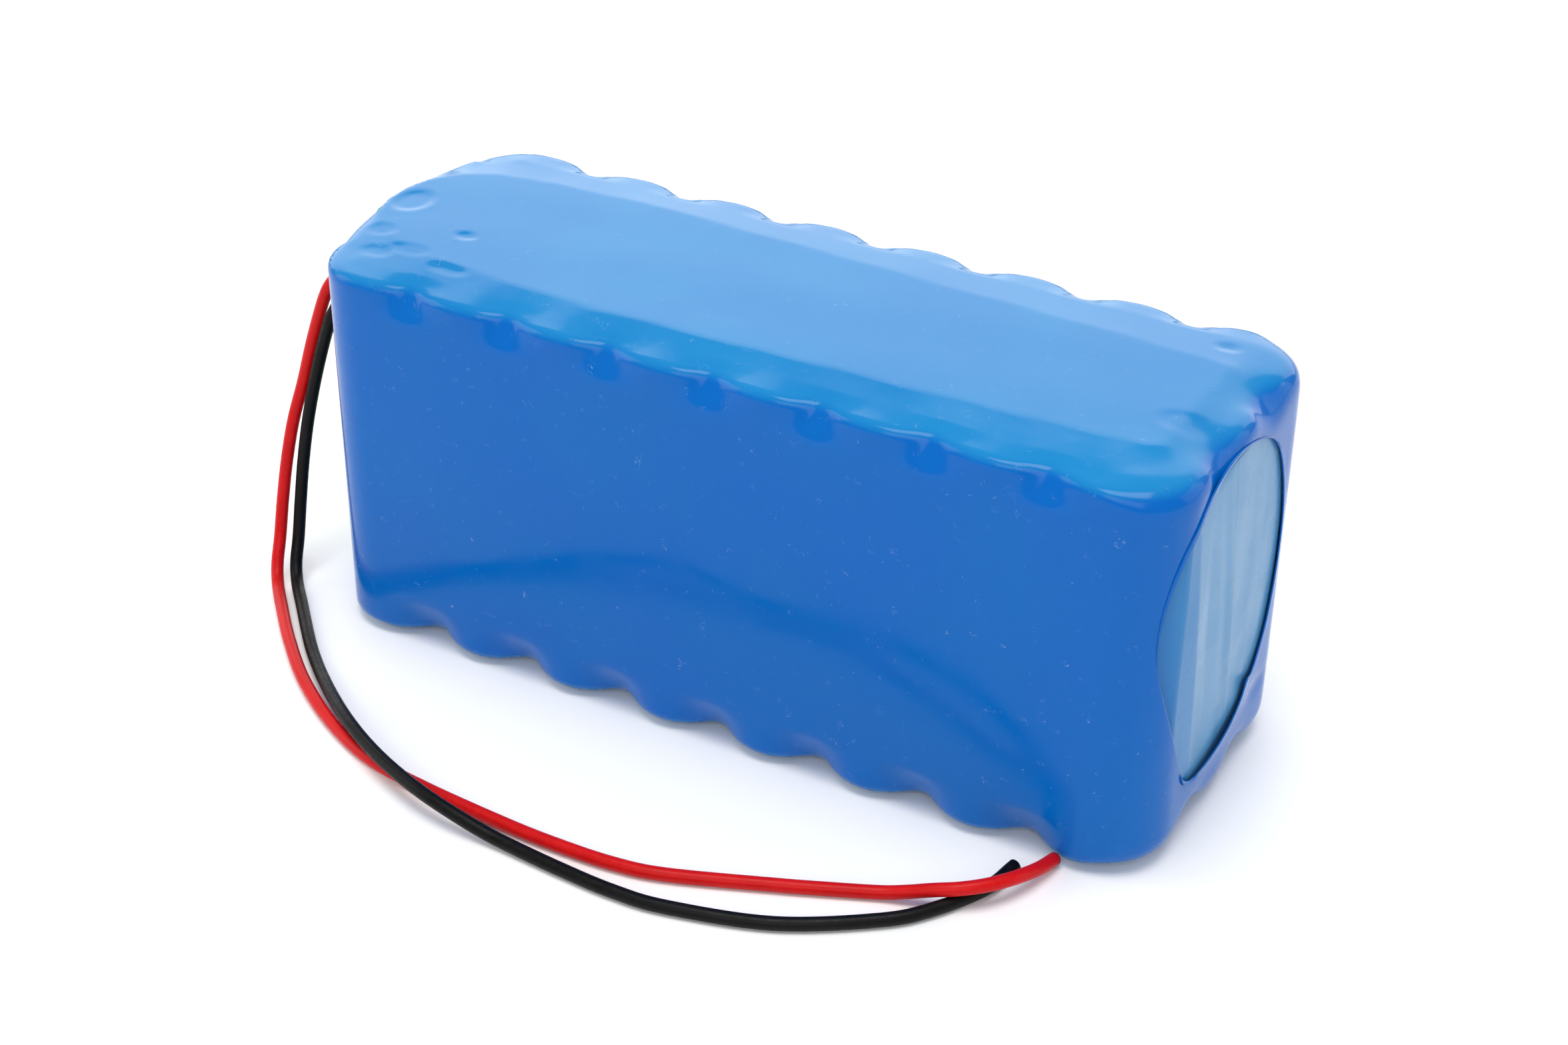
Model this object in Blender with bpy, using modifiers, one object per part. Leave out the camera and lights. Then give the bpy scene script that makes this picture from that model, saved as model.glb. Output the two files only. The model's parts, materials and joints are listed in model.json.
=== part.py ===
"""Rechargeable battery pack of twenty-four round cells in a heat-shrink sleeve.

The cells stand upright in eight columns (X) and three rows (Y).  Each row of eight is wired in parallel
and the three rows are in series, so the middle row stands upside down.  Nickel plates join the cell ends,
their tabs fold over the left end onto a protection board, and two leads hang from that board.

Frame: metres, +Z up, origin under the middle of the sleeve, +X along the long side away from the leads.
"""

import math

import bmesh
import bpy
from mathutils import Matrix, Vector
from mathutils.geometry import convex_hull_2d

# ---------------------------------------------------------------- driving dimensions, metres

CELL_COLUMNS = 8
CELL_ROWS = 3
CELL_DIAMETER = 0.0183
CELL_LENGTH = 0.065
CELL_EDGE = 0.0005
CELL_BUTTON_RADIUS = 0.0031
CELL_RIM_WIDTH = 0.0016
CELL_RING_DEPTH = 0.0006
CELL_TURNING_STEPS = 16
CLEARANCE = 0.0003
WELD_DISTANCE = 0.00001

NICKEL_THICKNESS = 0.0002
NICKEL_STRIP_WIDTH = 0.010
NICKEL_WINDOW_RADIUS = 0.003
NICKEL_WINDOW_SIDES = 10
TAB_WIDTH = 0.004
TAB_REACH = 0.0075
TAB_FOOT_LENGTH = 0.004
TAB_LEG_INSET = 0.00005
TAB_SHIFT_ONE_ROW = 0.010
TAB_SHIFT_TWO_ROWS = 0.003
PAPER_THICKNESS = 0.0005
PAD_WIDTH = 0.036
PAD_CORNER_RADIUS = 0.0015
PAD_SHORT_OF_END = 0.0063
PAD_TAPER_LENGTH = 0.005
PAD_LEFT_RADIUS = 0.008
WRAP_THICKNESS = 0.0003
WRAP_EDGE_MARGIN = 0.005
SLEEVE_THICKNESS = 0.0003

END_PAPER_OVERHANG = 0.0014
END_PAPER_SHORT_OF_CELLS = 0.0035

CIRCUIT_BOARD_THICKNESS = 0.0012
CIRCUIT_BOARD_WIDTH = 0.028
CIRCUIT_BOARD_SHORT_OF_CELLS = 0.0025
CIRCUIT_BOARD_CORNER_RADIUS = 0.001
CHIP_THICKNESS = 0.0011
CHIP_BEVEL = 0.00015
COVER_THICKNESS = 0.0003
COVER_SIDE_MARGIN = 0.001
COVER_END_MARGIN = 0.008
COVER_DROP = 0.002

# Parts on the circuit board: (distance along Y, height above the board's middle) and (width, height).
TRANSISTOR_COUNT = 4
TRANSISTOR_STEP = 0.0062
TRANSISTOR_RISE = 0.012
TRANSISTOR_SIZE = (0.005, 0.006)
PROTECTION_CHIP_PLACE = (0.004, -0.002)
PROTECTION_CHIP_SIZE = (0.006, 0.008)
SHUNT_PLACE = (-0.006, 0.001)
SHUNT_SIZE = (0.0066, 0.0033)
RESISTOR_COUNT = 3
RESISTOR_STEP = 0.0045
RESISTOR_PLACE = (-0.0035, -0.013)
RESISTOR_SIZE = (0.0032, 0.0016)

OPENING_MARGIN_ACROSS = 0.009
OPENING_MARGIN_UPRIGHT = 0.0044
OPENING_SQUARENESS = 3.0
SLEEVE_END_RADIUS = 0.0012
GROOVE_DEPTH = 0.0018
GROOVE_SHARPNESS = 1.5

# How the sleeve leaves the pad's edge and the nickel's edge, each a distance beyond that edge.
SLEEVE_BEYOND_PAD = 0.0004
SLEEVE_BEYOND_NICKEL = 0.0008

# The sleeve's bend over a cell's rim, from the top down: each point's distance inside the side face and
# below the rim, then how much of a groove's depth draws it inwards and how much draws it down.
RIM_BEND = [
    (0.00175, 0.0, 1.0, 0.15),
    (0.00065, 0.0006, 0.95, 0.4),
    (0.00035, 0.0016, 0.55, 0.35),
    (0.0, 0.0034, 0.0, 0.0),
]
RIM_BEND_WIDTH = 0.005
PLAIN_SIDE_BELOW_RIM = 0.0150

LEAD_DIAMETER = 0.0022
LEAD_ABOVE_GROUND = 0.00005

# ---------------------------------------------------------------- layers, worked out from the sizes above

CELL_RADIUS = CELL_DIAMETER / 2
PITCH = CELL_DIAMETER + CLEARANCE
BLOCK_HALF_LENGTH = (CELL_COLUMNS - 1) * PITCH / 2 + CELL_RADIUS

PAD_BASE = SLEEVE_THICKNESS + CLEARANCE
NICKEL_BASE = PAD_BASE + PAPER_THICKNESS + CLEARANCE
CELL_BASE = NICKEL_BASE + NICKEL_THICKNESS + CLEARANCE
CELL_TOP = CELL_BASE + CELL_LENGTH
PACK_HEIGHT = CELL_TOP + CELL_BASE
MID_HEIGHT = PACK_HEIGHT / 2

# Distances of each layer's inner face beyond the end cells, counted outwards from the cell block.
END_PAPER_OFFSET = CLEARANCE
WRAP_END_OFFSET = END_PAPER_OFFSET + PAPER_THICKNESS + CLEARANCE
CIRCUIT_BOARD_OFFSET = WRAP_END_OFFSET + WRAP_THICKNESS + CLEARANCE
CHIP_OFFSET = CIRCUIT_BOARD_OFFSET + CIRCUIT_BOARD_THICKNESS + CLEARANCE
COVER_OFFSET = CHIP_OFFSET + CHIP_THICKNESS + CLEARANCE
LEFT_SLEEVE_OFFSET = COVER_OFFSET + COVER_THICKNESS + CLEARANCE
RIGHT_SLEEVE_OFFSET = WRAP_END_OFFSET + WRAP_THICKNESS + CLEARANCE

LEFT_STACK = LEFT_SLEEVE_OFFSET + SLEEVE_THICKNESS
RIGHT_STACK = RIGHT_SLEEVE_OFFSET + SLEEVE_THICKNESS
BLOCK_CENTRE_X = (LEFT_STACK - RIGHT_STACK) / 2
BLOCK_LEFT = BLOCK_CENTRE_X - BLOCK_HALF_LENGTH
BLOCK_RIGHT = BLOCK_CENTRE_X + BLOCK_HALF_LENGTH
SLEEVE_LEFT = BLOCK_LEFT - LEFT_STACK
SLEEVE_RIGHT = BLOCK_RIGHT + RIGHT_STACK

OUTER_ROW_Y = (CELL_ROWS - 1) * PITCH / 2
NICKEL_EDGE_Y = OUTER_ROW_Y + NICKEL_STRIP_WIDTH / 2

END_PAPER_WIDTH = 2 * (OUTER_ROW_Y + END_PAPER_OVERHANG)
END_PAPER_HEIGHT = CELL_LENGTH - 2 * END_PAPER_SHORT_OF_CELLS
CIRCUIT_BOARD_HEIGHT = CELL_LENGTH - 2 * CIRCUIT_BOARD_SHORT_OF_CELLS
COVER_WIDTH = CIRCUIT_BOARD_WIDTH - 2 * COVER_SIDE_MARGIN
COVER_HEIGHT = CIRCUIT_BOARD_HEIGHT - 2 * COVER_END_MARGIN
OPENING_WIDTH = 2 * (OUTER_ROW_Y + CELL_RADIUS + CLEARANCE + WRAP_THICKNESS + CLEARANCE + SLEEVE_THICKNESS
                     - OPENING_MARGIN_ACROSS)
OPENING_HEIGHT = PACK_HEIGHT - 2 * OPENING_MARGIN_UPRIGHT

# ---------------------------------------------------------------- lead routes, metres, chosen by hand

RED_ROUTE = [
    (-0.0768, -0.0030, 0.0616), (-0.0769, -0.0065, 0.0614), (-0.0779, -0.0094, 0.0605),
    (-0.0796, -0.0114, 0.0588), (-0.0816, -0.0125, 0.0562), (-0.0835, -0.0131, 0.0527),
    (-0.0864, -0.0138, 0.0440), (-0.0883, -0.0149, 0.0361), (-0.0898, -0.0168, 0.0287),
    (-0.0906, -0.0186, 0.0213), (-0.0909, -0.0204, 0.0139), (-0.0905, -0.0224, 0.0080),
    (-0.0895, -0.0250, 0.0039), (-0.0875, -0.0277, 0.0017), (-0.0834, -0.0320, 0.0012),
    (-0.0750, -0.0403, 0.0012), (-0.0653, -0.0486, 0.0012), (-0.0544, -0.0556, 0.0012),
    (-0.0425, -0.0608, 0.0012), (-0.0302, -0.0628, 0.0012), (-0.0135, -0.0641, 0.0012),
    (-0.0034, -0.0643, 0.0012), (0.0061, -0.0638, 0.0012), (0.0144, -0.0620, 0.0012),
    (0.0296, -0.0559, 0.0012), (0.0370, -0.0527, 0.0012), (0.0443, -0.0495, 0.0013),
    (0.0481, -0.0482, 0.0020), (0.0519, -0.0469, 0.0030), (0.0556, -0.0454, 0.0037),
    (0.0588, -0.0428, 0.0039), (0.0613, -0.0391, 0.0036), (0.0630, -0.0340, 0.0025),
    (0.0637, -0.0289, 0.0013),
]
BLACK_ROUTE = [
    (-0.0768, -0.0025, 0.0580), (-0.0770, -0.0055, 0.0578), (-0.0777, -0.0085, 0.0568),
    (-0.0790, -0.0112, 0.0549), (-0.0805, -0.0130, 0.0523), (-0.0819, -0.0139, 0.0492),
    (-0.0835, -0.0142, 0.0448), (-0.0855, -0.0151, 0.0371), (-0.0870, -0.0162, 0.0292),
    (-0.0878, -0.0175, 0.0215), (-0.0881, -0.0189, 0.0140), (-0.0877, -0.0208, 0.0078),
    (-0.0867, -0.0233, 0.0037), (-0.0845, -0.0260, 0.0016), (-0.0803, -0.0302, 0.0012),
    (-0.0720, -0.0386, 0.0012), (-0.0671, -0.0431, 0.0013), (-0.0616, -0.0478, 0.0020),
    (-0.0556, -0.0526, 0.0030), (-0.0497, -0.0568, 0.0037), (-0.0439, -0.0602, 0.0039),
    (-0.0379, -0.0631, 0.0040), (-0.0317, -0.0655, 0.0040), (-0.0262, -0.0671, 0.0038),
    (-0.0207, -0.0679, 0.0031), (-0.0157, -0.0681, 0.0021), (-0.0108, -0.0682, 0.0014),
    (-0.0002, -0.0690, 0.0012), (0.0096, -0.0694, 0.0012), (0.0185, -0.0685, 0.0012),
    (0.0341, -0.0637, 0.0012), (0.0473, -0.0551, 0.0012), (0.0530, -0.0489, 0.0012),
    (0.0577, -0.0404, 0.0012), (0.0591, -0.0333, 0.0012),
]
LEAD_SPACING = 0.0048
LEAD_CURVE_STEPS = 24

# ---------------------------------------------------------------- scene and materials


def clear_scene():
    for item in list(bpy.data.objects):
        bpy.data.objects.remove(item, do_unlink=True)


def new_collection(name):
    collection = bpy.data.collections.new(name)
    bpy.context.scene.collection.children.link(collection)
    return collection


def make_material(name, colour, roughness, metallic=0.0):
    material = bpy.data.materials.new(name)
    material.use_nodes = True
    shader = material.node_tree.nodes["Principled BSDF"]
    shader.inputs["Base Color"].default_value = (*colour, 1.0)
    shader.inputs["Roughness"].default_value = roughness
    shader.inputs["Metallic"].default_value = metallic
    return material


def make_materials():
    return {
        "sleeve": make_material("sleeve_film", (0.02, 0.15, 0.58), 0.18),
        "wrap": make_material("wrap_film", (0.16, 0.38, 0.68), 0.3),
        "cell": make_material("cell_wrapper", (0.06, 0.30, 0.16), 0.35),
        "nickel": make_material("nickel_plate", (0.62, 0.60, 0.56), 0.3, 1.0),
        "paper": make_material("barley_paper", (0.10, 0.33, 0.16), 0.8),
        "circuit_board": make_material("circuit_board", (0.02, 0.16, 0.07), 0.35),
        "chip": make_material("chip_body", (0.02, 0.02, 0.022), 0.45),
        "shunt": make_material("shunt_metal", (0.50, 0.42, 0.34), 0.35, 1.0),
        "red": make_material("red_insulation", (0.60, 0.012, 0.015), 0.35),
        "black": make_material("black_insulation", (0.012, 0.012, 0.012), 0.4),
    }


# ---------------------------------------------------------------- shape helpers


def add_part(name, data, material, location=(0, 0, 0)):
    part = bpy.data.objects.new(name, data)
    part.location = location
    data.materials.clear()
    data.materials.append(material)
    PARTS.objects.link(part)
    return part


def curve_to_mesh(guide, name, material):
    """A closed mesh part of a curve: its caps are welded and the curve goes."""
    bpy.context.view_layer.update()
    evaluated = guide.evaluated_get(bpy.context.evaluated_depsgraph_get())
    mesh = bpy.data.meshes.new_from_object(evaluated)
    matrix = guide.matrix_world.copy()
    bpy.data.objects.remove(guide, do_unlink=True)
    surface = bmesh.new()
    surface.from_mesh(mesh)
    bmesh.ops.remove_doubles(surface, verts=surface.verts, dist=WELD_DISTANCE)
    surface.to_mesh(mesh)
    surface.free()
    mesh.name = name
    part = add_part(name, mesh, material)
    part.matrix_world = matrix
    return part


def flat_sheet(name, outlines, thickness, material, location, rotation=(0, 0, 0)):
    """A sheet cut to the first outline, with the other outlines as holes, centred on its own plane."""
    curve = bpy.data.curves.new(name + "_outline", "CURVE")
    curve.dimensions = "2D"
    curve.fill_mode = "BOTH"
    curve.extrude = thickness / 2
    for outline in outlines:
        spline = curve.splines.new("POLY")
        spline.points.add(len(outline) - 1)
        for point, (x, y) in zip(spline.points, outline):
            point.co = (x, y, 0, 1)
        spline.use_cyclic_u = True
    guide = bpy.data.objects.new(name + "_guide", curve)
    guide.location = location
    guide.rotation_euler = rotation
    PARTS.objects.link(guide)
    return curve_to_mesh(guide, name, material)


def circle_outline(centre_x, centre_y, radius, sides):
    turns = [2 * math.pi * i / sides for i in range(sides)]
    return [(centre_x + radius * math.cos(a), centre_y + radius * math.sin(a)) for a in turns]


def rounded_rectangle(low_x, low_y, high_x, high_y, radius, corner_steps=3):
    corners = [
        (high_x - radius, high_y - radius, 0.0),
        (low_x + radius, high_y - radius, 0.5),
        (low_x + radius, low_y + radius, 1.0),
        (high_x - radius, low_y + radius, 1.5),
    ]
    outline = []
    for x, y, start in corners:
        for step in range(corner_steps + 1):
            angle = math.pi * (start + 0.5 * step / corner_steps)
            outline.append((x + radius * math.cos(angle), y + radius * math.sin(angle)))
    return outline


def corners_only(outline):
    """An outline without repeated points and without points that lie on a straight run."""
    smallest = 1e-7
    points = [p for i, p in enumerate(outline) if math.dist(p, outline[i - 1]) > smallest]
    corners = []
    for i, point in enumerate(points):
        before = Vector(points[i - 1]) - Vector(point)
        after = Vector(points[(i + 1) % len(points)]) - Vector(point)
        if abs(before.normalized().cross(after.normalized())) > 0.001:
            corners.append(point)
    return corners


def box_part(name, low, high, material, bevel=0.0):
    """A box between two corners, with its edges rounded."""
    mesh = bpy.data.meshes.new(name)
    size = [high[i] - low[i] for i in range(3)]
    cube = bmesh.new()
    bmesh.ops.create_cube(cube, size=1.0, matrix=Matrix.Diagonal((*size, 1.0)))
    cube.to_mesh(mesh)
    cube.free()
    part = add_part(name, mesh, material, [(low[i] + high[i]) / 2 for i in range(3)])
    if bevel:
        rounding = part.modifiers.new("rounding", "BEVEL")
        rounding.width = bevel
        rounding.segments = 1
    return part


def combined(part, tool, operation):
    """Adds a tool solid to a part, or cuts it away, and removes the tool."""
    boolean = part.modifiers.new("boolean", "BOOLEAN")
    boolean.operation = operation
    boolean.object = tool
    bpy.context.view_layer.update()
    evaluated = part.evaluated_get(bpy.context.evaluated_depsgraph_get())
    mesh = bpy.data.meshes.new_from_object(evaluated)
    part.modifiers.clear()
    part.data = mesh
    bpy.data.objects.remove(tool, do_unlink=True)


def hull_outline(rounds, offset, sides=64):
    """The outline of a taut band around circles (x, y, radius), standing off them all by an offset."""
    cloud = []
    for x, y, radius in rounds:
        cloud += circle_outline(x, y, radius + offset, sides)
    return [cloud[i] for i in convex_hull_2d(cloud)]


# ---------------------------------------------------------------- cells


def column_x(column):
    return BLOCK_CENTRE_X + (column - (CELL_COLUMNS - 1) / 2) * PITCH


def row_y(row):
    return (row - (CELL_ROWS - 1) / 2) * PITCH


def cell_mesh():
    """One cell, positive end up, turned from its outer profile."""
    ring_radius = CELL_RADIUS - CELL_RIM_WIDTH
    ring_floor = CELL_LENGTH - CELL_RING_DEPTH
    profile = [
        (0, CELL_LENGTH), (CELL_BUTTON_RADIUS, CELL_LENGTH), (CELL_BUTTON_RADIUS, ring_floor),
        (ring_radius, ring_floor), (ring_radius, CELL_LENGTH),
        (CELL_RADIUS - CELL_EDGE, CELL_LENGTH), (CELL_RADIUS, CELL_LENGTH - CELL_EDGE),
        (CELL_RADIUS, CELL_EDGE), (CELL_RADIUS - CELL_EDGE, 0), (0, 0),
    ]
    outline = bmesh.new()
    corners = [outline.verts.new((x, 0, z)) for x, z in profile]
    for start, end in zip(corners, corners[1:]):
        outline.edges.new((start, end))
    mesh = bpy.data.meshes.new("cell")
    outline.to_mesh(mesh)
    outline.free()
    return mesh


def make_cells(material):
    for row in range(CELL_ROWS):
        upside_down = row % 2 == 1
        for column in range(CELL_COLUMNS):
            name = f"cell_row{row + 1}_{column + 1}"
            cell = add_part(name, cell_mesh(), material)
            cell.location = (column_x(column), row_y(row), CELL_TOP if upside_down else CELL_BASE)
            cell.rotation_euler = (math.pi if upside_down else 0, 0, 0)
            turning = cell.modifiers.new("turning", "SCREW")
            turning.steps = CELL_TURNING_STEPS
            turning.render_steps = CELL_TURNING_STEPS
            turning.use_merge_vertices = True
            turning.merge_threshold = WELD_DISTANCE
            turning.use_smooth_shade = False


# ---------------------------------------------------------------- nickel plates and their tabs

TAB_FACE = BLOCK_LEFT - CHIP_OFFSET
PLATE_OVERHANG = NICKEL_STRIP_WIDTH / 2


def make_plate(name, first_row, last_row, on_top, material):
    """A plate under or over whole rows, with a tab that folds down the left end onto the circuit board."""
    low_y = row_y(first_row) - PLATE_OVERHANG
    high_y = row_y(last_row) + PLATE_OVERHANG
    left = column_x(0) - PLATE_OVERHANG
    right = column_x(CELL_COLUMNS - 1) + PLATE_OVERHANG
    tab_left = TAB_FACE - NICKEL_THICKNESS
    one_row = first_row == last_row
    tab_y = TAB_SHIFT_ONE_ROW if one_row else TAB_SHIFT_TWO_ROWS
    tab_y = tab_y if on_top else -tab_y
    tab_low = tab_y - TAB_WIDTH / 2
    tab_high = tab_y + TAB_WIDTH / 2
    outline = [
        (right, low_y), (right, high_y), (left + TAB_FOOT_LENGTH, high_y),
        (left + TAB_FOOT_LENGTH, max(high_y, tab_high)), (left, max(high_y, tab_high)), (left, tab_high),
        (tab_left, tab_high), (tab_left, tab_low), (left, tab_low),
        (left, min(low_y, tab_low)), (left + TAB_FOOT_LENGTH, min(low_y, tab_low)),
        (left + TAB_FOOT_LENGTH, low_y),
    ]
    top_face = PACK_HEIGHT - NICKEL_BASE
    if on_top:
        middle_z = top_face - NICKEL_THICKNESS / 2
        leg_low, leg_high = top_face - TAB_REACH, middle_z
    else:
        middle_z = NICKEL_BASE + NICKEL_THICKNESS / 2
        leg_low, leg_high = middle_z, NICKEL_BASE + TAB_REACH
    plate = flat_sheet(name, [corners_only(outline)], NICKEL_THICKNESS, material, (0, 0, middle_z))
    leg_corner = (tab_left + TAB_LEG_INSET, tab_low + TAB_LEG_INSET, leg_low)
    far_corner = (TAB_FACE, tab_high - TAB_LEG_INSET, leg_high)
    leg = box_part(name + "_leg", leg_corner, far_corner, material)
    combined(plate, leg, "UNION")
    for row in range(first_row, last_row):
        for column in range(CELL_COLUMNS - 1):
            middle_x = (column_x(column) + column_x(column + 1)) / 2
            middle_y = (row_y(row) + row_y(row + 1)) / 2
            combined(plate, window_cutter(middle_x, middle_y, middle_z), "DIFFERENCE")


def window_cutter(x, y, z):
    """A short upright cylinder for a window between four cells."""
    mesh = bpy.data.meshes.new("window")
    drum = bmesh.new()
    bmesh.ops.create_cone(drum, cap_ends=True, segments=NICKEL_WINDOW_SIDES, radius1=NICKEL_WINDOW_RADIUS,
                          radius2=NICKEL_WINDOW_RADIUS, depth=NICKEL_THICKNESS * 4)
    drum.to_mesh(mesh)
    drum.free()
    cutter = bpy.data.objects.new("window", mesh)
    cutter.location = (x, y, z)
    cutter.hide_render = True
    cutter.display_type = "WIRE"
    CUTTERS.objects.link(cutter)
    return cutter


def make_plates(material):
    last = CELL_ROWS - 1
    make_plate("nickel_negative_plate", 0, 0, False, material)
    make_plate("nickel_first_series_plate", 0, last - 1, True, material)
    make_plate("nickel_second_series_plate", 1, last, False, material)
    make_plate("nickel_positive_plate", last, last, True, material)


# ---------------------------------------------------------------- insulating papers


def pad_outline():
    left_end = TAB_FACE - NICKEL_THICKNESS - CLEARANCE
    taper_start = BLOCK_LEFT + PAD_TAPER_LENGTH
    right_end = BLOCK_RIGHT - PAD_SHORT_OF_END
    half = PAD_WIDTH / 2
    left_half = TAB_SHIFT_ONE_ROW + TAB_WIDTH / 2 + CLEARANCE
    rounds = []
    for side in (-1, 1):
        rounds.append((right_end - PAD_CORNER_RADIUS, side * (half - PAD_CORNER_RADIUS), PAD_CORNER_RADIUS))
        rounds.append((taper_start + PAD_CORNER_RADIUS, side * (half - PAD_CORNER_RADIUS), PAD_CORNER_RADIUS))
        rounds.append((left_end + PAD_LEFT_RADIUS, side * (left_half - PAD_LEFT_RADIUS), PAD_LEFT_RADIUS))
    return hull_outline(rounds, 0, sides=24)


def make_papers(material):
    half = PAPER_THICKNESS / 2
    flat_sheet("top_paper", [pad_outline()], PAPER_THICKNESS, material,
               (0, 0, PACK_HEIGHT - PAD_BASE - half))
    flat_sheet("bottom_paper", [pad_outline()], PAPER_THICKNESS, material, (0, 0, PAD_BASE + half))
    upright = (math.pi / 2, 0, math.pi / 2)
    end_paper = rounded_rectangle(-END_PAPER_WIDTH / 2, -END_PAPER_HEIGHT / 2,
                                  END_PAPER_WIDTH / 2, END_PAPER_HEIGHT / 2, PAD_CORNER_RADIUS)
    reach = END_PAPER_OFFSET + half
    flat_sheet("left_end_paper", [end_paper], PAPER_THICKNESS, material,
               (BLOCK_LEFT - reach, 0, MID_HEIGHT), upright)
    flat_sheet("right_end_paper", [end_paper], PAPER_THICKNESS, material,
               (BLOCK_RIGHT + reach, 0, MID_HEIGHT), upright)


# ---------------------------------------------------------------- protection board


def board_piece(name, place, size, material):
    """A part soldered on the outer face of the circuit board, at a place measured from the board's middle."""
    outer = BLOCK_LEFT - CHIP_OFFSET - CHIP_THICKNESS
    inner = BLOCK_LEFT - CHIP_OFFSET
    low = (outer, place[0] - size[0] / 2, MID_HEIGHT + place[1] - size[1] / 2)
    high = (inner, place[0] + size[0] / 2, MID_HEIGHT + place[1] + size[1] / 2)
    return box_part(name, low, high, material, bevel=CHIP_BEVEL)


def upright_sheet(name, width, height, thickness, inner_face, centre_z, material):
    """A round-cornered sheet that stands across the left end, its inner face at an X."""
    radius = CIRCUIT_BOARD_CORNER_RADIUS
    outline = rounded_rectangle(-width / 2, -height / 2, width / 2, height / 2, radius)
    flat_sheet(name, [outline], thickness, material, (inner_face - thickness / 2, 0, centre_z),
               (math.pi / 2, 0, math.pi / 2))


def make_protection_board(board_material, chip_material, shunt_material, paper_material):
    upright_sheet("protection_circuit_board", CIRCUIT_BOARD_WIDTH, CIRCUIT_BOARD_HEIGHT,
                  CIRCUIT_BOARD_THICKNESS, BLOCK_LEFT - CIRCUIT_BOARD_OFFSET, MID_HEIGHT, board_material)
    for index in range(TRANSISTOR_COUNT):
        place = ((index - (TRANSISTOR_COUNT - 1) / 2) * TRANSISTOR_STEP, TRANSISTOR_RISE)
        board_piece(f"power_transistor_{index + 1}", place, TRANSISTOR_SIZE, chip_material)
    board_piece("protection_chip", PROTECTION_CHIP_PLACE, PROTECTION_CHIP_SIZE, chip_material)
    board_piece("current_shunt", SHUNT_PLACE, SHUNT_SIZE, shunt_material)
    for index in range(RESISTOR_COUNT):
        along = RESISTOR_PLACE[0] + (index - (RESISTOR_COUNT - 1) / 2) * RESISTOR_STEP
        board_piece(f"balance_resistor_{index + 1}", (along, RESISTOR_PLACE[1]), RESISTOR_SIZE, chip_material)
    upright_sheet("board_cover_paper", COVER_WIDTH, COVER_HEIGHT, COVER_THICKNESS,
                  BLOCK_LEFT - COVER_OFFSET, MID_HEIGHT - COVER_DROP, paper_material)


# ---------------------------------------------------------------- inner wrap


def wrap_rounds():
    """What the inner wrap is drawn around: the corner cells and the edges of the end papers."""
    rounds = []
    for side in (-1, 1):
        y = side * OUTER_ROW_Y
        rounds.append((column_x(0), y, CELL_RADIUS))
        rounds.append((column_x(CELL_COLUMNS - 1), y, CELL_RADIUS))
        edge_y = side * END_PAPER_WIDTH / 2
        rounds.append((BLOCK_LEFT - END_PAPER_OFFSET - PAPER_THICKNESS, edge_y, 0))
        rounds.append((BLOCK_RIGHT + END_PAPER_OFFSET + PAPER_THICKNESS, edge_y, 0))
    return rounds


def make_inner_wrap(material):
    outline = hull_outline(wrap_rounds(), CLEARANCE, sides=48)
    ribbon = bmesh.new()
    low = [ribbon.verts.new((x, y, WRAP_EDGE_MARGIN)) for x, y in outline]
    high = [ribbon.verts.new((x, y, PACK_HEIGHT - WRAP_EDGE_MARGIN)) for x, y in outline]
    for i in range(len(outline)):
        ribbon.faces.new((low[i - 1], low[i], high[i], high[i - 1]))
    bmesh.ops.recalc_face_normals(ribbon, faces=ribbon.faces)
    mesh = bpy.data.meshes.new("inner_wrap")
    ribbon.to_mesh(mesh)
    ribbon.free()
    wrap = add_part("inner_wrap", mesh, material)
    shell = wrap.modifiers.new("film", "SOLIDIFY")
    shell.thickness = WRAP_THICKNESS
    shell.offset = 1
    shell.use_even_offset = True


# ---------------------------------------------------------------- outer sleeve

# Where the sleeve's sections stand: angles round an end cell, angles round an end's edge, and per column.
CORNER_ANGLES = (17, 33, 47, 59, 70, 80)
EDGE_ANGLES = (0, 45, 90)
STATIONS_PER_COLUMN = 4


def sleeve_plan():
    """The sleeve's outer outline seen from above."""
    rounds = [(x, y, radius + CLEARANCE + WRAP_THICKNESS) for x, y, radius in wrap_rounds()]
    cover_face = BLOCK_LEFT - COVER_OFFSET - COVER_THICKNESS
    board_edge = CIRCUIT_BOARD_WIDTH / 2
    rounds += [(cover_face, board_edge, 0), (cover_face, -board_edge, 0)]
    return hull_outline(rounds, CLEARANCE + SLEEVE_THICKNESS)


def half_width(plan, x):
    """Half the width of the outline at a station, which is symmetrical about the X axis."""
    smallest = WELD_DISTANCE / 100
    x = min(max(x, SLEEVE_LEFT + smallest), SLEEVE_RIGHT - smallest)
    widest = 0.0
    for i in range(len(plan)):
        (x0, y0), (x1, y1) = plan[i - 1], plan[i]
        if min(x0, x1) <= x <= max(x0, x1) and abs(x1 - x0) > smallest / 10:
            widest = max(widest, y0 + (y1 - y0) * (x - x0) / (x1 - x0))
    return widest


def groove_at(x):
    """0 over the middle of a column and 1 between two columns; the end columns' outer halves have none."""
    if not column_x(0) < x < column_x(CELL_COLUMNS - 1):
        return 0.0
    phase = 2 * math.pi * (x - column_x(0)) / PITCH
    return ((1 - math.cos(phase)) / 2) ** GROOVE_SHARPNESS


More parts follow.
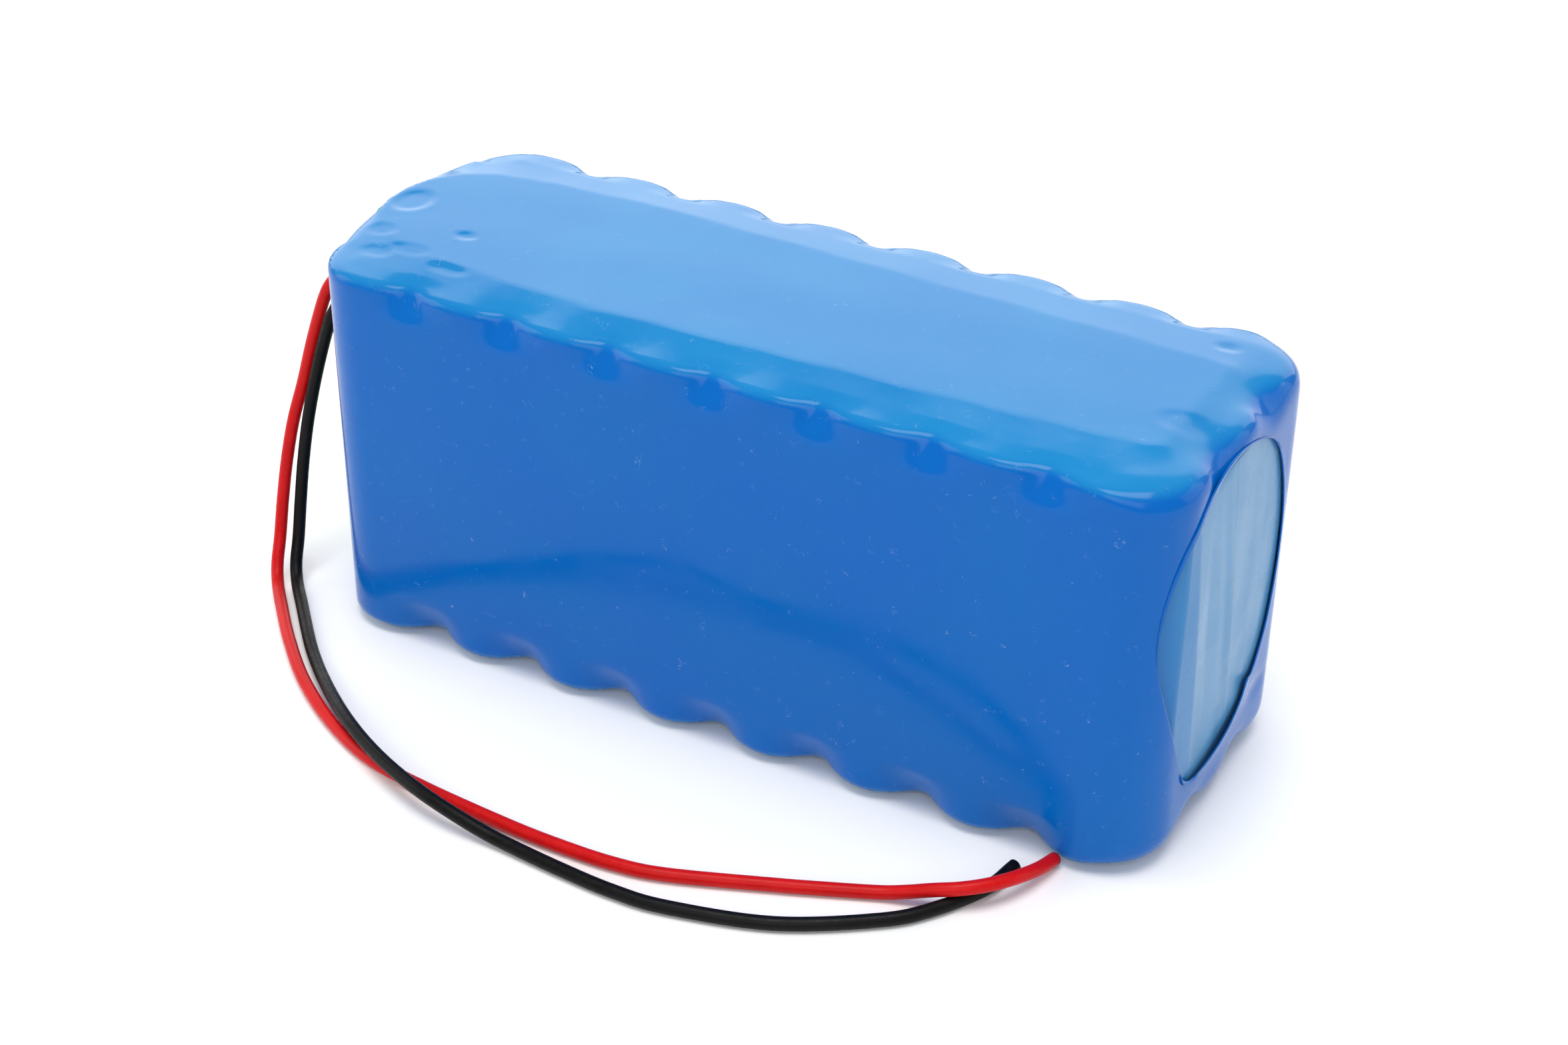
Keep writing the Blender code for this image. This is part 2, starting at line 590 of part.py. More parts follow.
def sleeve_section(plan, x):
    """The sleeve's outer outline across X: a half from the crown down the +Y side, then its mirror image."""
    width = half_width(plan, x)
    groove = groove_at(x) * GROOVE_DEPTH
    rim = PACK_HEIGHT - CELL_BASE + CLEARANCE + SLEEVE_THICKNESS
    over_nickel = PACK_HEIGHT - NICKEL_BASE + CLEARANCE + SLEEVE_THICKNESS
    pad_end = BLOCK_RIGHT - PAD_SHORT_OF_END
    fall = min(max((x - pad_end) / PAD_SHORT_OF_END, 0), 1)
    crown = PACK_HEIGHT + (rim - PACK_HEIGHT) * fall
    shoulder = over_nickel + (rim - over_nickel) * fall
    end_gap = min(x - SLEEVE_LEFT, SLEEVE_RIGHT - x)
    inset = 0.0
    if end_gap < SLEEVE_END_RADIUS:
        reach = SLEEVE_END_RADIUS - end_gap
        inset = SLEEVE_END_RADIUS - math.sqrt(max(SLEEVE_END_RADIUS**2 - reach**2, 0))
    room = width - RIM_BEND_WIDTH
    upper = [
        (0, crown),
        (min(PAD_WIDTH / 2 + SLEEVE_BEYOND_PAD, room), crown),
        (min(NICKEL_EDGE_Y + SLEEVE_BEYOND_NICKEL, width - RIM_BEND_WIDTH / 2), shoulder),
    ]
    for inside, below, inward_share, down_share in RIM_BEND:
        upper.append((width - inside - inward_share * groove, rim - below - down_share * groove))
    upper.append((width, rim - PLAIN_SIDE_BELOW_RIM))
    upper = [(y, z - inset) for y, z in upper]
    lower = [(y, PACK_HEIGHT - z) for y, z in reversed(upper)]
    plus_side = upper + [(width, MID_HEIGHT)] + lower
    minus_side = [(-y, z) for y, z in reversed(plus_side[1:-1])]
    return [Vector((x, y, z)) for y, z in plus_side + minus_side]


def opening_ring(x, section):
    """The edge of an end opening, a rounded lens, with one point straight inside each point of a section."""
    ring = []
    for point in section:
        angle = math.atan2(point.z - MID_HEIGHT, point.y)
        across = abs(math.cos(angle)) / (OPENING_WIDTH / 2)
        upright = abs(math.sin(angle)) / (OPENING_HEIGHT / 2)
        radius = (across**OPENING_SQUARENESS + upright**OPENING_SQUARENESS) ** (-1 / OPENING_SQUARENESS)
        ring.append(Vector((x, radius * math.cos(angle), MID_HEIGHT + radius * math.sin(angle))))
    return ring


def end_distances(end_length):
    """Distances of the stations beyond an end column's middle: round its cells, then round the end's edge."""
    corner_radius = CELL_RADIUS + 2 * CLEARANCE + WRAP_THICKNESS + SLEEVE_THICKNESS
    distances = [corner_radius * math.sin(math.radians(angle)) for angle in CORNER_ANGLES]
    edge_start = end_length - SLEEVE_END_RADIUS
    distances = [d for d in distances if d < edge_start - SLEEVE_END_RADIUS / 4]
    return distances + [edge_start + SLEEVE_END_RADIUS * math.sin(math.radians(a)) for a in EDGE_ANGLES]


def sleeve_stations():
    first, last = column_x(0), column_x(CELL_COLUMNS - 1)
    middle_steps = (CELL_COLUMNS - 1) * STATIONS_PER_COLUMN
    middle = [first + (last - first) * i / middle_steps for i in range(middle_steps + 1)]
    left = [first - d for d in reversed(end_distances(first - SLEEVE_LEFT))]
    right = [last + d for d in end_distances(SLEEVE_RIGHT - last)]
    return left + middle + right


def make_sleeve(material):
    plan = sleeve_plan()
    rings = [sleeve_section(plan, x) for x in sleeve_stations()]
    rings.insert(0, opening_ring(SLEEVE_LEFT, rings[0]))
    rings.append(opening_ring(SLEEVE_RIGHT, rings[-1]))
    loft = bmesh.new()
    loops = [[loft.verts.new(point) for point in ring] for ring in rings]
    for before, after in zip(loops, loops[1:]):
        for i in range(len(before)):
            loft.faces.new((before[i - 1], before[i], after[i], after[i - 1]))
    bmesh.ops.recalc_face_normals(loft, faces=loft.faces)
    mesh = bpy.data.meshes.new("sleeve")
    loft.to_mesh(mesh)
    loft.free()
    mesh.shade_smooth()
    sleeve = add_part("shrink_sleeve", mesh, material)
    shell = sleeve.modifiers.new("film", "SOLIDIFY")
    shell.thickness = SLEEVE_THICKNESS
    shell.offset = -1
    shell.use_even_offset = True


# ---------------------------------------------------------------- leads


def smooth_points(route, spacing, lowest):
    """Evenly spaced points of the smooth curve through a route's points, never below a height."""
    knots = [Vector(point) for point in route]
    knots = [knots[0] * 2 - knots[1]] + knots + [knots[-1] * 2 - knots[-2]]
    fine = []
    for before, start, end, after in zip(knots, knots[1:], knots[2:], knots[3:]):
        for step in range(LEAD_CURVE_STEPS):
            t = step / LEAD_CURVE_STEPS
            point = (start * 2 + (end - before) * t
                     + (before * 2 - start * 5 + end * 4 - after) * t**2
                     + (start * 3 - before - end * 3 + after) * t**3) / 2
            fine.append(point)
    fine.append(knots[-2])
    for point in fine:
        point.z = max(point.z, lowest)
    length = sum((b - a).length for a, b in zip(fine, fine[1:]))
    count = round(length / spacing)
    points = [fine[0]]
    travelled = 0.0
    for a, b in zip(fine, fine[1:]):
        step = (b - a).length
        while len(points) < count and travelled + step >= length * len(points) / count:
            share = (length * len(points) / count - travelled) / step
            points.append(a.lerp(b, share))
        travelled += step
    points.append(fine[-1])
    return points


def make_lead(name, route, material):
    radius = LEAD_DIAMETER / 2
    curve = bpy.data.curves.new(name, "CURVE")
    curve.dimensions = "3D"
    curve.bevel_depth = radius
    curve.bevel_resolution = 2
    curve.use_fill_caps = True
    points = smooth_points(route, LEAD_SPACING, radius + LEAD_ABOVE_GROUND)
    spline = curve.splines.new("POLY")
    spline.points.add(len(points) - 1)
    for target, point in zip(spline.points, points):
        target.co = (*point, 1)
    add_part(name, curve, material)


# ---------------------------------------------------------------- the pack

clear_scene()
PARTS = new_collection("battery_pack")
CUTTERS = new_collection("battery_pack_cutters")
MATERIALS = make_materials()
make_cells(MATERIALS["cell"])
make_plates(MATERIALS["nickel"])
make_papers(MATERIALS["paper"])
make_protection_board(MATERIALS["circuit_board"], MATERIALS["chip"], MATERIALS["shunt"], MATERIALS["paper"])
make_inner_wrap(MATERIALS["wrap"])
make_sleeve(MATERIALS["sleeve"])
make_lead("red_lead", RED_ROUTE, MATERIALS["red"])
make_lead("black_lead", BLACK_ROUTE, MATERIALS["black"])
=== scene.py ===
"""Looks of the battery pack: a taut heat-shrink film drawn over its cells, an inner wrap, two leads."""

import math

import bmesh
import bpy
import numpy as np
from mathutils import Matrix, Vector
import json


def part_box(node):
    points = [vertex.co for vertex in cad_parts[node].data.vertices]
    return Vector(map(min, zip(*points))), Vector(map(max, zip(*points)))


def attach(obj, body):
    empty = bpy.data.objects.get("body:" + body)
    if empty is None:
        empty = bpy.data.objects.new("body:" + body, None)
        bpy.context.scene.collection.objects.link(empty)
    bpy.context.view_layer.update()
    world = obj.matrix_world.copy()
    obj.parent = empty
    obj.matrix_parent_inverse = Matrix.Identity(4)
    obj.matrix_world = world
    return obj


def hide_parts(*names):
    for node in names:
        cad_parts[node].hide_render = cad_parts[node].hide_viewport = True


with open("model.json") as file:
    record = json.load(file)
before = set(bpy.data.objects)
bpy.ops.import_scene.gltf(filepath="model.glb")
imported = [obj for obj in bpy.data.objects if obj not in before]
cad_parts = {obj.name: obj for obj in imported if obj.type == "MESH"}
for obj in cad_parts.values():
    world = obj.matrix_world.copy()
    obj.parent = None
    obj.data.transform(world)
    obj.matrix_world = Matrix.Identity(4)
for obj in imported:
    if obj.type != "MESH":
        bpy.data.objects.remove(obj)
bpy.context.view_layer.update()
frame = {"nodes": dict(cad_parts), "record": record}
ROOT = "root"
MM = 0.001

# ---------------------------------------------------------------- camera

CAMERA_TARGET = Vector((0.0004, -0.0019, 0.0278))
CAMERA_DISTANCE = 0.4457
CAMERA_AZIMUTH = math.radians(29.38)
CAMERA_ELEVATION = math.radians(31.29)
CAMERA_ROLL = math.radians(0.61)
CAMERA_LENS = 62.0
CAMERA_SENSOR_WIDTH = 36.0
CAMERA_CLIP_START = 0.01


def make_camera():
    data = bpy.data.cameras.new("camera")
    data.lens = CAMERA_LENS
    data.sensor_width = CAMERA_SENSOR_WIDTH
    data.clip_start = CAMERA_CLIP_START
    camera = bpy.data.objects.new("camera", data)
    bpy.context.scene.collection.objects.link(camera)
    level = math.cos(CAMERA_ELEVATION)
    away = Vector((math.sin(CAMERA_AZIMUTH) * level, -math.cos(CAMERA_AZIMUTH) * level,
                   math.sin(CAMERA_ELEVATION)))
    aim = (-away).to_track_quat("-Z", "Y").to_matrix().to_4x4()
    roll = Matrix.Rotation(CAMERA_ROLL, 4, "Z")
    camera.matrix_world = Matrix.Translation(CAMERA_TARGET + away * CAMERA_DISTANCE) @ aim @ roll
    bpy.context.scene.camera = camera


make_camera()

# ---------------------------------------------------------------- leads' routes, metres, as in the CAD

RED_ROUTE = [
    (-0.0768, -0.0030, 0.0616), (-0.0769, -0.0065, 0.0614), (-0.0779, -0.0094, 0.0605),
    (-0.0796, -0.0114, 0.0588), (-0.0816, -0.0125, 0.0562), (-0.0835, -0.0131, 0.0527),
    (-0.0864, -0.0138, 0.0440), (-0.0883, -0.0149, 0.0361), (-0.0898, -0.0168, 0.0287),
    (-0.0906, -0.0186, 0.0213), (-0.0909, -0.0204, 0.0139), (-0.0905, -0.0224, 0.0080),
    (-0.0895, -0.0250, 0.0039), (-0.0875, -0.0277, 0.0017), (-0.0834, -0.0320, 0.0012),
    (-0.0750, -0.0403, 0.0012), (-0.0653, -0.0486, 0.0012), (-0.0544, -0.0556, 0.0012),
    (-0.0425, -0.0608, 0.0012), (-0.0302, -0.0628, 0.0012), (-0.0135, -0.0641, 0.0012),
    (-0.0034, -0.0643, 0.0012), (0.0061, -0.0638, 0.0012), (0.0144, -0.0620, 0.0012),
    (0.0296, -0.0559, 0.0012), (0.0370, -0.0527, 0.0012), (0.0443, -0.0495, 0.0013),
    (0.0481, -0.0482, 0.0020), (0.0519, -0.0469, 0.0030), (0.0556, -0.0454, 0.0037),
    (0.0588, -0.0428, 0.0039), (0.0613, -0.0391, 0.0036), (0.0630, -0.0340, 0.0025),
    (0.0637, -0.0289, 0.0013),
]
BLACK_ROUTE = [
    (-0.0768, -0.0025, 0.0580), (-0.0770, -0.0055, 0.0578), (-0.0777, -0.0085, 0.0568),
    (-0.0790, -0.0112, 0.0549), (-0.0805, -0.0130, 0.0523), (-0.0819, -0.0139, 0.0492),
    (-0.0835, -0.0142, 0.0448), (-0.0855, -0.0151, 0.0371), (-0.0870, -0.0162, 0.0292),
    (-0.0878, -0.0175, 0.0215), (-0.0881, -0.0189, 0.0140), (-0.0877, -0.0208, 0.0078),
    (-0.0867, -0.0233, 0.0037), (-0.0845, -0.0260, 0.0016), (-0.0803, -0.0302, 0.0012),
    (-0.0720, -0.0386, 0.0012), (-0.0671, -0.0431, 0.0013), (-0.0616, -0.0478, 0.0020),
    (-0.0556, -0.0526, 0.0030), (-0.0497, -0.0568, 0.0037), (-0.0439, -0.0602, 0.0039),
    (-0.0379, -0.0631, 0.0040), (-0.0317, -0.0655, 0.0040), (-0.0262, -0.0671, 0.0038),
    (-0.0207, -0.0679, 0.0031), (-0.0157, -0.0681, 0.0021), (-0.0108, -0.0682, 0.0014),
    (-0.0002, -0.0690, 0.0012), (0.0096, -0.0694, 0.0012), (0.0185, -0.0685, 0.0012),
    (0.0341, -0.0637, 0.0012), (0.0473, -0.0551, 0.0012), (0.0530, -0.0489, 0.0012),
    (0.0577, -0.0404, 0.0012), (0.0591, -0.0333, 0.0012),
]
LEAD_DIAMETER = 0.0022
LEAD_RADIUS = LEAD_DIAMETER / 2
ABOVE_GROUND = 0.05 * MM


def curve_point(before, start, end, after, t):
    """A point of the Catmull-Rom curve from start to end, at a share t of the way."""
    return (2 * start + (end - before) * t
            + (2 * before - 5 * start + 4 * end - after) * t**2
            + (3 * start - before - 3 * end + after) * t**3) / 2


def smooth_curve(route, steps, lowest):
    """Points of the smooth curve through a route's points, never below a height."""
    knots = np.array(route)
    knots = np.vstack([2 * knots[0] - knots[1], knots, 2 * knots[-1] - knots[-2]])
    points = [curve_point(*four, step / steps)
              for four in zip(knots, knots[1:], knots[2:], knots[3:])
              for step in range(steps)]
    points.append(knots[-2])
    points = np.array(points)
    points[:, 2] = np.maximum(points[:, 2], lowest)
    return points


# ---------------------------------------------------------------- the contents, from the frame

low_corner, high_corner = (np.array(corner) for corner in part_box("shrink_sleeve"))
first_low, first_high = (np.array(corner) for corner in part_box("cell_row1_1"))
last_low, last_high = (np.array(corner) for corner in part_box("cell_row3_8"))
wrap_low, wrap_high = (np.array(corner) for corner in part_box("inner_wrap"))
paper_low, paper_high = (np.array(corner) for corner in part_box("top_paper"))
plate_high = np.array(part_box("nickel_first_series_plate")[1])
board_low, board_high = (np.array(corner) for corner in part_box("protection_circuit_board"))
cover_low, cover_high = (np.array(corner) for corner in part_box("board_cover_paper"))

COLUMNS = 8
CELL_RADIUS = (first_high[0] - first_low[0]) / 2
FIRST_X, FIRST_Y = (first_low[:2] + first_high[:2]) / 2
LAST_X, LAST_Y = (last_low[:2] + last_high[:2]) / 2
PITCH = (LAST_X - FIRST_X) / (COLUMNS - 1)
MID_Z = (first_low[2] + first_high[2]) / 2
CELL_HALF = (first_high[2] - first_low[2]) / 2
BLOCK_MARGIN = (wrap_high[1] - LAST_Y) - CELL_RADIUS

# The film stays this far outside its contents, measured at its outer face.
FILM_OFFSET = 0.55 * MM
FILM_THICKNESS = 0.25 * MM

# How far the long sides give way between two columns, near their upper and lower edges.
GROOVE_HALF_WIDTH = 3.4 * MM
GROOVE_NARROW_SHARE = 0.5
TOP_GROOVE_REACH = 5.5 * MM
TOP_FRONT_GROOVE = 2.1 * MM
TOP_BACK_GROOVE = 2.8 * MM
BOTTOM_GROOVE_REACH = 7.5 * MM
BOTTOM_GROOVE = 3.8 * MM
WRAP_GIVES_MORE = 0.4 * MM

# How far the right end gives way between two rows, near its upper and lower edges.
END_GIVE = 2.2 * MM
END_GIVE_HALF_WIDTH = 4.2 * MM
END_REACH = 7.0 * MM
END_STARTS_BEFORE = 6 * MM

# The block's upper and lower edges: their rounding, and how far they sag between columns and rows.
BLOCK_EDGE = 0.75 * MM
END_EDGE = 2.3 * MM
END_EDGE_STARTS_BEFORE = 2 * MM
END_EDGE_LENGTH = 8 * MM
SIDE_SAG = 0.2 * MM
SIDE_SAG_STARTS_AT = 19 * MM
SIDE_SAG_LENGTH = 6 * MM
END_SAG = 0.9 * MM
END_SAG_STARTS_BEYOND = 3 * MM
END_SAG_LENGTH = 6 * MM
END_SAG_MIDDLE = 9 * MM
END_SAG_HALF_WIDTH = 7 * MM

# The raised pad of the papers: places along X and its half width there, in millimetres.
PAD_FRONT = ([-76.2, -75, -72, -66, -55, -23, 58, 70], [3.0, 7.5, 11.5, 15.5, 18.6, 20.2, 16.6, 15.5])
PAD_BACK = ([-76.2, -75, -72, -66, -55, -34, 53, 70], [3.0, 7.5, 11.5, 15.0, 17.0, 17.9, 14.6, 13.5])
PAD_EDGE = 0.35 * MM
NICKEL_BEYOND_CELL_AXIS = 5 * MM
NICKEL_EDGE = 0.15 * MM

# The left end: the board, its cover, and a bowed cap over the nickel tabs. The cap stands back by its bow
# times the squared distance from its middle, all in millimetres.
BOARD_DEPTH = 6 * MM
COVER_EDGE = 1.2 * MM
BOARD_EDGE = 0.8 * MM
CAP_EDGE = 1.6 * MM
CAP_BEHIND_COVER = 0.1 * MM
CAP_BOW = 0.0088
CAP_MIDDLE = 2
CAP_HALF_WIDTH = 20 * MM


def rounded(insets, radius):
    """Distance from a convex shape with rounded edges, from the distances to its faces moved in."""
    insets = np.stack(insets, axis=-1)
    outside = np.linalg.norm(np.maximum(insets, 0), axis=-1)
    return outside + np.minimum(insets.max(axis=-1), 0) - radius


def rounded_box(points, low, high, radius):
    """Distance of points from a box with rounded edges."""
    return rounded([np.abs(points[..., axis] - (low[axis] + high[axis]) / 2)
                    - (high[axis] - low[axis]) / 2 + radius for axis in range(3)], radius)


def ease(t):
    t = np.clip(t, 0, 1)
    return t * t * (3 - 2 * t)


def notch(x):
    """1 midway between two columns and 0 away from there."""
    phase = (x - FIRST_X) / PITCH - 0.5
    nearest = np.clip(np.round(phase), 0, COLUMNS - 2)
    across = (phase - nearest) * PITCH
    broad = (1 + np.cos(2 * math.pi * np.clip(across / PITCH, -0.5, 0.5))) / 2
    narrow = np.exp(-(across / GROOVE_HALF_WIDTH) ** 2)
    return GROOVE_NARROW_SHARE * narrow + (1 - GROOVE_NARROW_SHARE) * broad


def groove(x, y, height, upper, margin):
    """How far a long side gives way near its upper or lower edge, between two columns."""
    depth = np.where(upper, np.where(y > 0, TOP_BACK_GROOVE, TOP_FRONT_GROOVE), BOTTOM_GROOVE)
    reach = np.where(upper, TOP_GROOVE_REACH, BOTTOM_GROOVE_REACH)
    near_edge = ease(1 - (CELL_HALF - height) / (reach + 2 * margin))
    return (depth * notch(x) + margin) * near_edge


def end_give(x, y, height):
    """How far the right end gives way near its upper and lower edges, between two rows."""
    near_end = ease(1 - (CELL_HALF - height) / END_REACH) ** 2
    between_rows = np.exp(-((np.abs(y) - PITCH / 2) / END_GIVE_HALF_WIDTH) ** 2)
    return END_GIVE * near_end * between_rows * ease((x - LAST_X) / END_STARTS_BEFORE)


def edge_sag(x, y):
    """How far the block's upper and lower edges dip between two columns and, at the right end, two rows."""
    sides = SIDE_SAG * notch(x) * ease((np.abs(y) - SIDE_SAG_STARTS_AT) / SIDE_SAG_LENGTH)
    at_end = ease((x - LAST_X - END_SAG_STARTS_BEYOND) / END_SAG_LENGTH)
    return sides + END_SAG * at_end * ease(1 - np.abs(np.abs(y) - END_SAG_MIDDLE) / END_SAG_HALF_WIDTH)


def block_distance(points):
    """Distance from the wrapped cells, whose edges give way between two columns or rows."""
    x, y = points[..., 0], points[..., 1]
    corner = CELL_RADIUS + BLOCK_MARGIN
    height = np.abs(points[..., 2] - MID_Z)
    centre_x = (wrap_high[0] + wrap_low[0]) / 2
    half_x = (wrap_high[0] - wrap_low[0]) / 2 - end_give(x, y, height)
    half_y = wrap_high[1] - groove(x, y, height, points[..., 2] > MID_Z, 0.0)
    plan = rounded([np.abs(x - centre_x) - (half_x - corner), np.abs(y) - (half_y - corner)], corner)
    at_end = ease((x - LAST_X + END_EDGE_STARTS_BEFORE) / END_EDGE_LENGTH)
    edge = BLOCK_EDGE + (END_EDGE - BLOCK_EDGE) * at_end
    upright = height - (CELL_HALF - edge_sag(x, y))
    return rounded([plan + edge, upright + edge], edge)


def paper_distance(points):
    """The two papers over the cell ends, rounded along their edges."""
    x, y = points[..., 0], points[..., 1]
    front = np.interp(x / MM, *PAD_FRONT) * MM
    back = np.interp(x / MM, *PAD_BACK) * MM
    ends = np.maximum(x - paper_high[0], paper_low[0] - x)
    sides = np.maximum(y - back, -front - y)
    upright = np.abs(points[..., 2] - MID_Z) - (paper_high[2] - MID_Z)
    return rounded([ends + PAD_EDGE, sides + PAD_EDGE, upright + PAD_EDGE], PAD_EDGE)


def plates_distance(points):
    """The nickel plates over and under the cells, as one box."""
    reach = NICKEL_BEYOND_CELL_AXIS
    low = (FIRST_X - reach, -LAST_Y - reach, 2 * MID_Z - plate_high[2])
    high = (LAST_X + reach, LAST_Y + reach, plate_high[2])
    return rounded_box(points, low, high, NICKEL_EDGE)


def board_distance(points):
    """The protection board with its cover, and the nickel tabs folded over the end above and below it."""
    x, y, z = points[..., 0], points[..., 1], points[..., 2]
    cover_back = (cover_low[0] + BOARD_DEPTH, cover_high[1], cover_high[2])
    board_back = (board_low[0] + BOARD_DEPTH, board_high[1], board_high[2])
    cover = rounded_box(points, cover_low, cover_back, COVER_EDGE)
    board = rounded_box(points, board_low, board_back, BOARD_EDGE)
    bow = cover_low[0] + CAP_BEHIND_COVER + CAP_BOW * (y / MM - CAP_MIDDLE) ** 2 * MM
    faces = (bow - x, np.abs(y) - CAP_HALF_WIDTH, np.abs(z - MID_Z) - (plate_high[2] - MID_Z))
    cap = rounded([face + CAP_EDGE for face in faces], CAP_EDGE)
    return np.minimum(np.minimum(board, cover), np.maximum(cap, x - FIRST_X))


def contents_distance(points):
    parts = (block_distance, paper_distance, plates_distance, board_distance)
    return np.minimum.reduce([part(points) for part in parts])


NORMAL_STEP = 0.02 * MM
SHORTEST_NORMAL = 1e-12


def contents_normal(points, distance):
    """The direction out of the contents at points whose distance is known."""
    slopes = [contents_distance(points + NORMAL_STEP * axis) - distance for axis in np.eye(3)]
    normal = np.stack(slopes, axis=-1)
    return normal / np.maximum(np.linalg.norm(normal, axis=-1, keepdims=True), SHORTEST_NORMAL)


# ---------------------------------------------------------------- the film as a net of points

SECTION_SQUARENESS = 9
SECTION_STEPS = 4000
OUTLINE_STEPS = 24


def rounded_section(half_y, half_z, count):
    """A rounded-rectangle loop with evenly spaced points, from the top centre round the +Y side."""
    turns = np.linspace(0, 2 * math.pi, SECTION_STEPS, endpoint=False)
    power = 2 / SECTION_SQUARENESS
    y = half_y * np.sign(np.sin(turns)) * np.abs(np.sin(turns)) ** power
    z = half_z * np.sign(np.cos(turns)) * np.abs(np.cos(turns)) ** power
    step = np.hypot(np.diff(y, append=y[0]), np.diff(z, append=z[0]))
    along = np.concatenate([[0], np.cumsum(step)])
    places = np.linspace(0, along[-1], count, endpoint=False)
    y = np.interp(places, along, np.append(y, y[0]))
    z = np.interp(places, along, np.append(z, z[0]))
    return y, z


def outline_radius(points, centre, angles):
    """The radius of a smooth closed outline at some angles about a centre, from the top towards +Y."""
    loop = np.array(points)
    knots = np.vstack([loop[-2:], loop, loop[:3]])
    t = np.linspace(0, 1, OUTLINE_STEPS, endpoint=False)[:, None]
    fine = [curve_point(*four, t) for four in zip(knots, knots[1:], knots[2:], knots[3:])]
    fine = np.vstack(fine) - centre
    turn = np.mod(np.arctan2(fine[:, 0], fine[:, 1]), 2 * math.pi)
    order = np.argsort(turn)
    return np.interp(angles, turn[order], np.hypot(fine[:, 0], fine[:, 1])[order], period=2 * math.pi)


# The film's edge round each end opening, as (y, z) points in millimetres, clockwise from the top.
RIGHT_EDGE = [
    (-4.5, 65.4), (5.5, 62.8), (12.0, 58.8), (16.2, 52.0), (18.9, 42.0), (18.6, 31.0), (15.6, 21.0),
    (9.0, 14.5), (-2.0, 11.0), (-13.5, 10.8), (-17.6, 16.5), (-21.5, 26.0), (-24.6, 37.0),
    (-25.0, 46.0), (-23.0, 55.5), (-18.5, 61.5), (-12.5, 64.6),
]
LEFT_EDGE = [
    (3.0, 63.6), (11.0, 61.5), (16.5, 56.0), (19.4, 46.0), (19.8, 34.0), (18.0, 22.0), (13.0, 12.5),
    (2.0, 8.6), (-8.0, 11.0), (-15.5, 18.5), (-19.8, 29.0), (-21.4, 40.0), (-20.9, 51.0),
    (-17.5, 58.5), (-9.0, 63.0),
]
OPENING_CENTRE_Z = 36.0

# The small pleat in the right opening's edge: its place, (y, z) in millimetres, and its size.
PLEAT_Y, PLEAT_Z = 10.5, 14.0
PLEAT_ANGLE = math.atan2(PLEAT_Y, PLEAT_Z - OPENING_CENTRE_Z)
PLEAT_HALF_ANGLE = math.radians(3.8)
PLEAT_REACH = 2.2 * MM
PLEAT_LIFT = 0.3 * MM

# How far the right opening's edge stands off the wrap, in millimetres, at angles in degrees from the top
# towards the back: a little along its back side, and most at its lowest point.
BACK_LIFT, BACK_LIFT_FROM, BACK_LIFT_RISE, BACK_LIFT_TO, BACK_LIFT_FALL = 0.10, 15, 45, 235, 50
BOTTOM_LIFT, BOTTOM_LIFT_ANGLE, BOTTOM_LIFT_HALF_ANGLE = 0.60, 180, 24

# How far out the film's left end stands at some distance from the middle row, in millimetres.
LEFT_END = ([0, 13, 16, 18.6, 21, 24, 27, 28.9], [77.9, 77.9, 77.0, 75.4, 73.5, 70.9, 66.9, 63.35])

# The film at the start, before it is drawn tight: its section, its slack and the length of its flanges.
SECTION_WIDTH = 0.058
SECTION_HEIGHT = 0.069
SIDE_SLACK = 1.5 * MM
END_SLACK = 1.0 * MM
FLANGE_LENGTH = 14 * MM

# The net's spacing and rounds, coarse and then fine, and how strongly the film pulls each way.
COARSE_SPACING = 2.0 * MM
FINE_SPACING = 0.8 * MM
COARSE_ROUNDS = 420
FINE_ROUNDS = 120
PULL_ALONG = 0.25
PULL_AROUND = 0.75
PULL_STEP = 0.9


def end_surface_x(y, right):
    """X of the film's end at some y. The right end is flat in the middle and round beside it."""
    if not right:
        return -np.interp(np.abs(y) / MM, *LEFT_END) * MM
    corner = CELL_RADIUS + BLOCK_MARGIN + FILM_OFFSET
    beyond = np.clip(np.abs(y) - LAST_Y, 0, corner)
    bulge = np.sqrt(np.maximum(corner**2 - beyond**2, 0)) / corner
    return LAST_X + (wrap_high[0] + FILM_OFFSET - LAST_X) * bulge


def edge_lift(angles):
    """How far the right opening's edge stands off the wrap."""
    turn = np.degrees(np.mod(angles, 2 * math.pi))
    back = ease((turn - BACK_LIFT_FROM) / BACK_LIFT_RISE) * ease((BACK_LIFT_TO - turn) / BACK_LIFT_FALL)
    bottom = np.exp(-((turn - BOTTOM_LIFT_ANGLE) / BOTTOM_LIFT_HALF_ANGLE) ** 2)
    return (BACK_LIFT * back + BOTTOM_LIFT * bottom) * MM


def pleat_share(angles):
    """1 at the pleat in the right opening's edge, falling off to both sides."""
    away = np.mod(angles - PLEAT_ANGLE + math.pi, 2 * math.pi) - math.pi
    return np.exp(-(away / PLEAT_HALF_ANGLE) ** 2)


def opening_ring(right, edge, angles):
    """The film's edge round one opening, a point for each angle about the opening's centre."""
    centre_z = OPENING_CENTRE_Z * MM
    radius = outline_radius(np.array(edge) * MM, (0, centre_z), angles)
    if right:
        radius = radius - PLEAT_REACH * pleat_share(angles)
    y = radius * np.sin(angles)
    z = radius * np.cos(angles) + centre_z
    x = end_surface_x(y, right)
    if right:
        x = x + edge_lift(angles) + PLEAT_LIFT * pleat_share(angles)
    return np.stack([x, y, z], axis=-1)


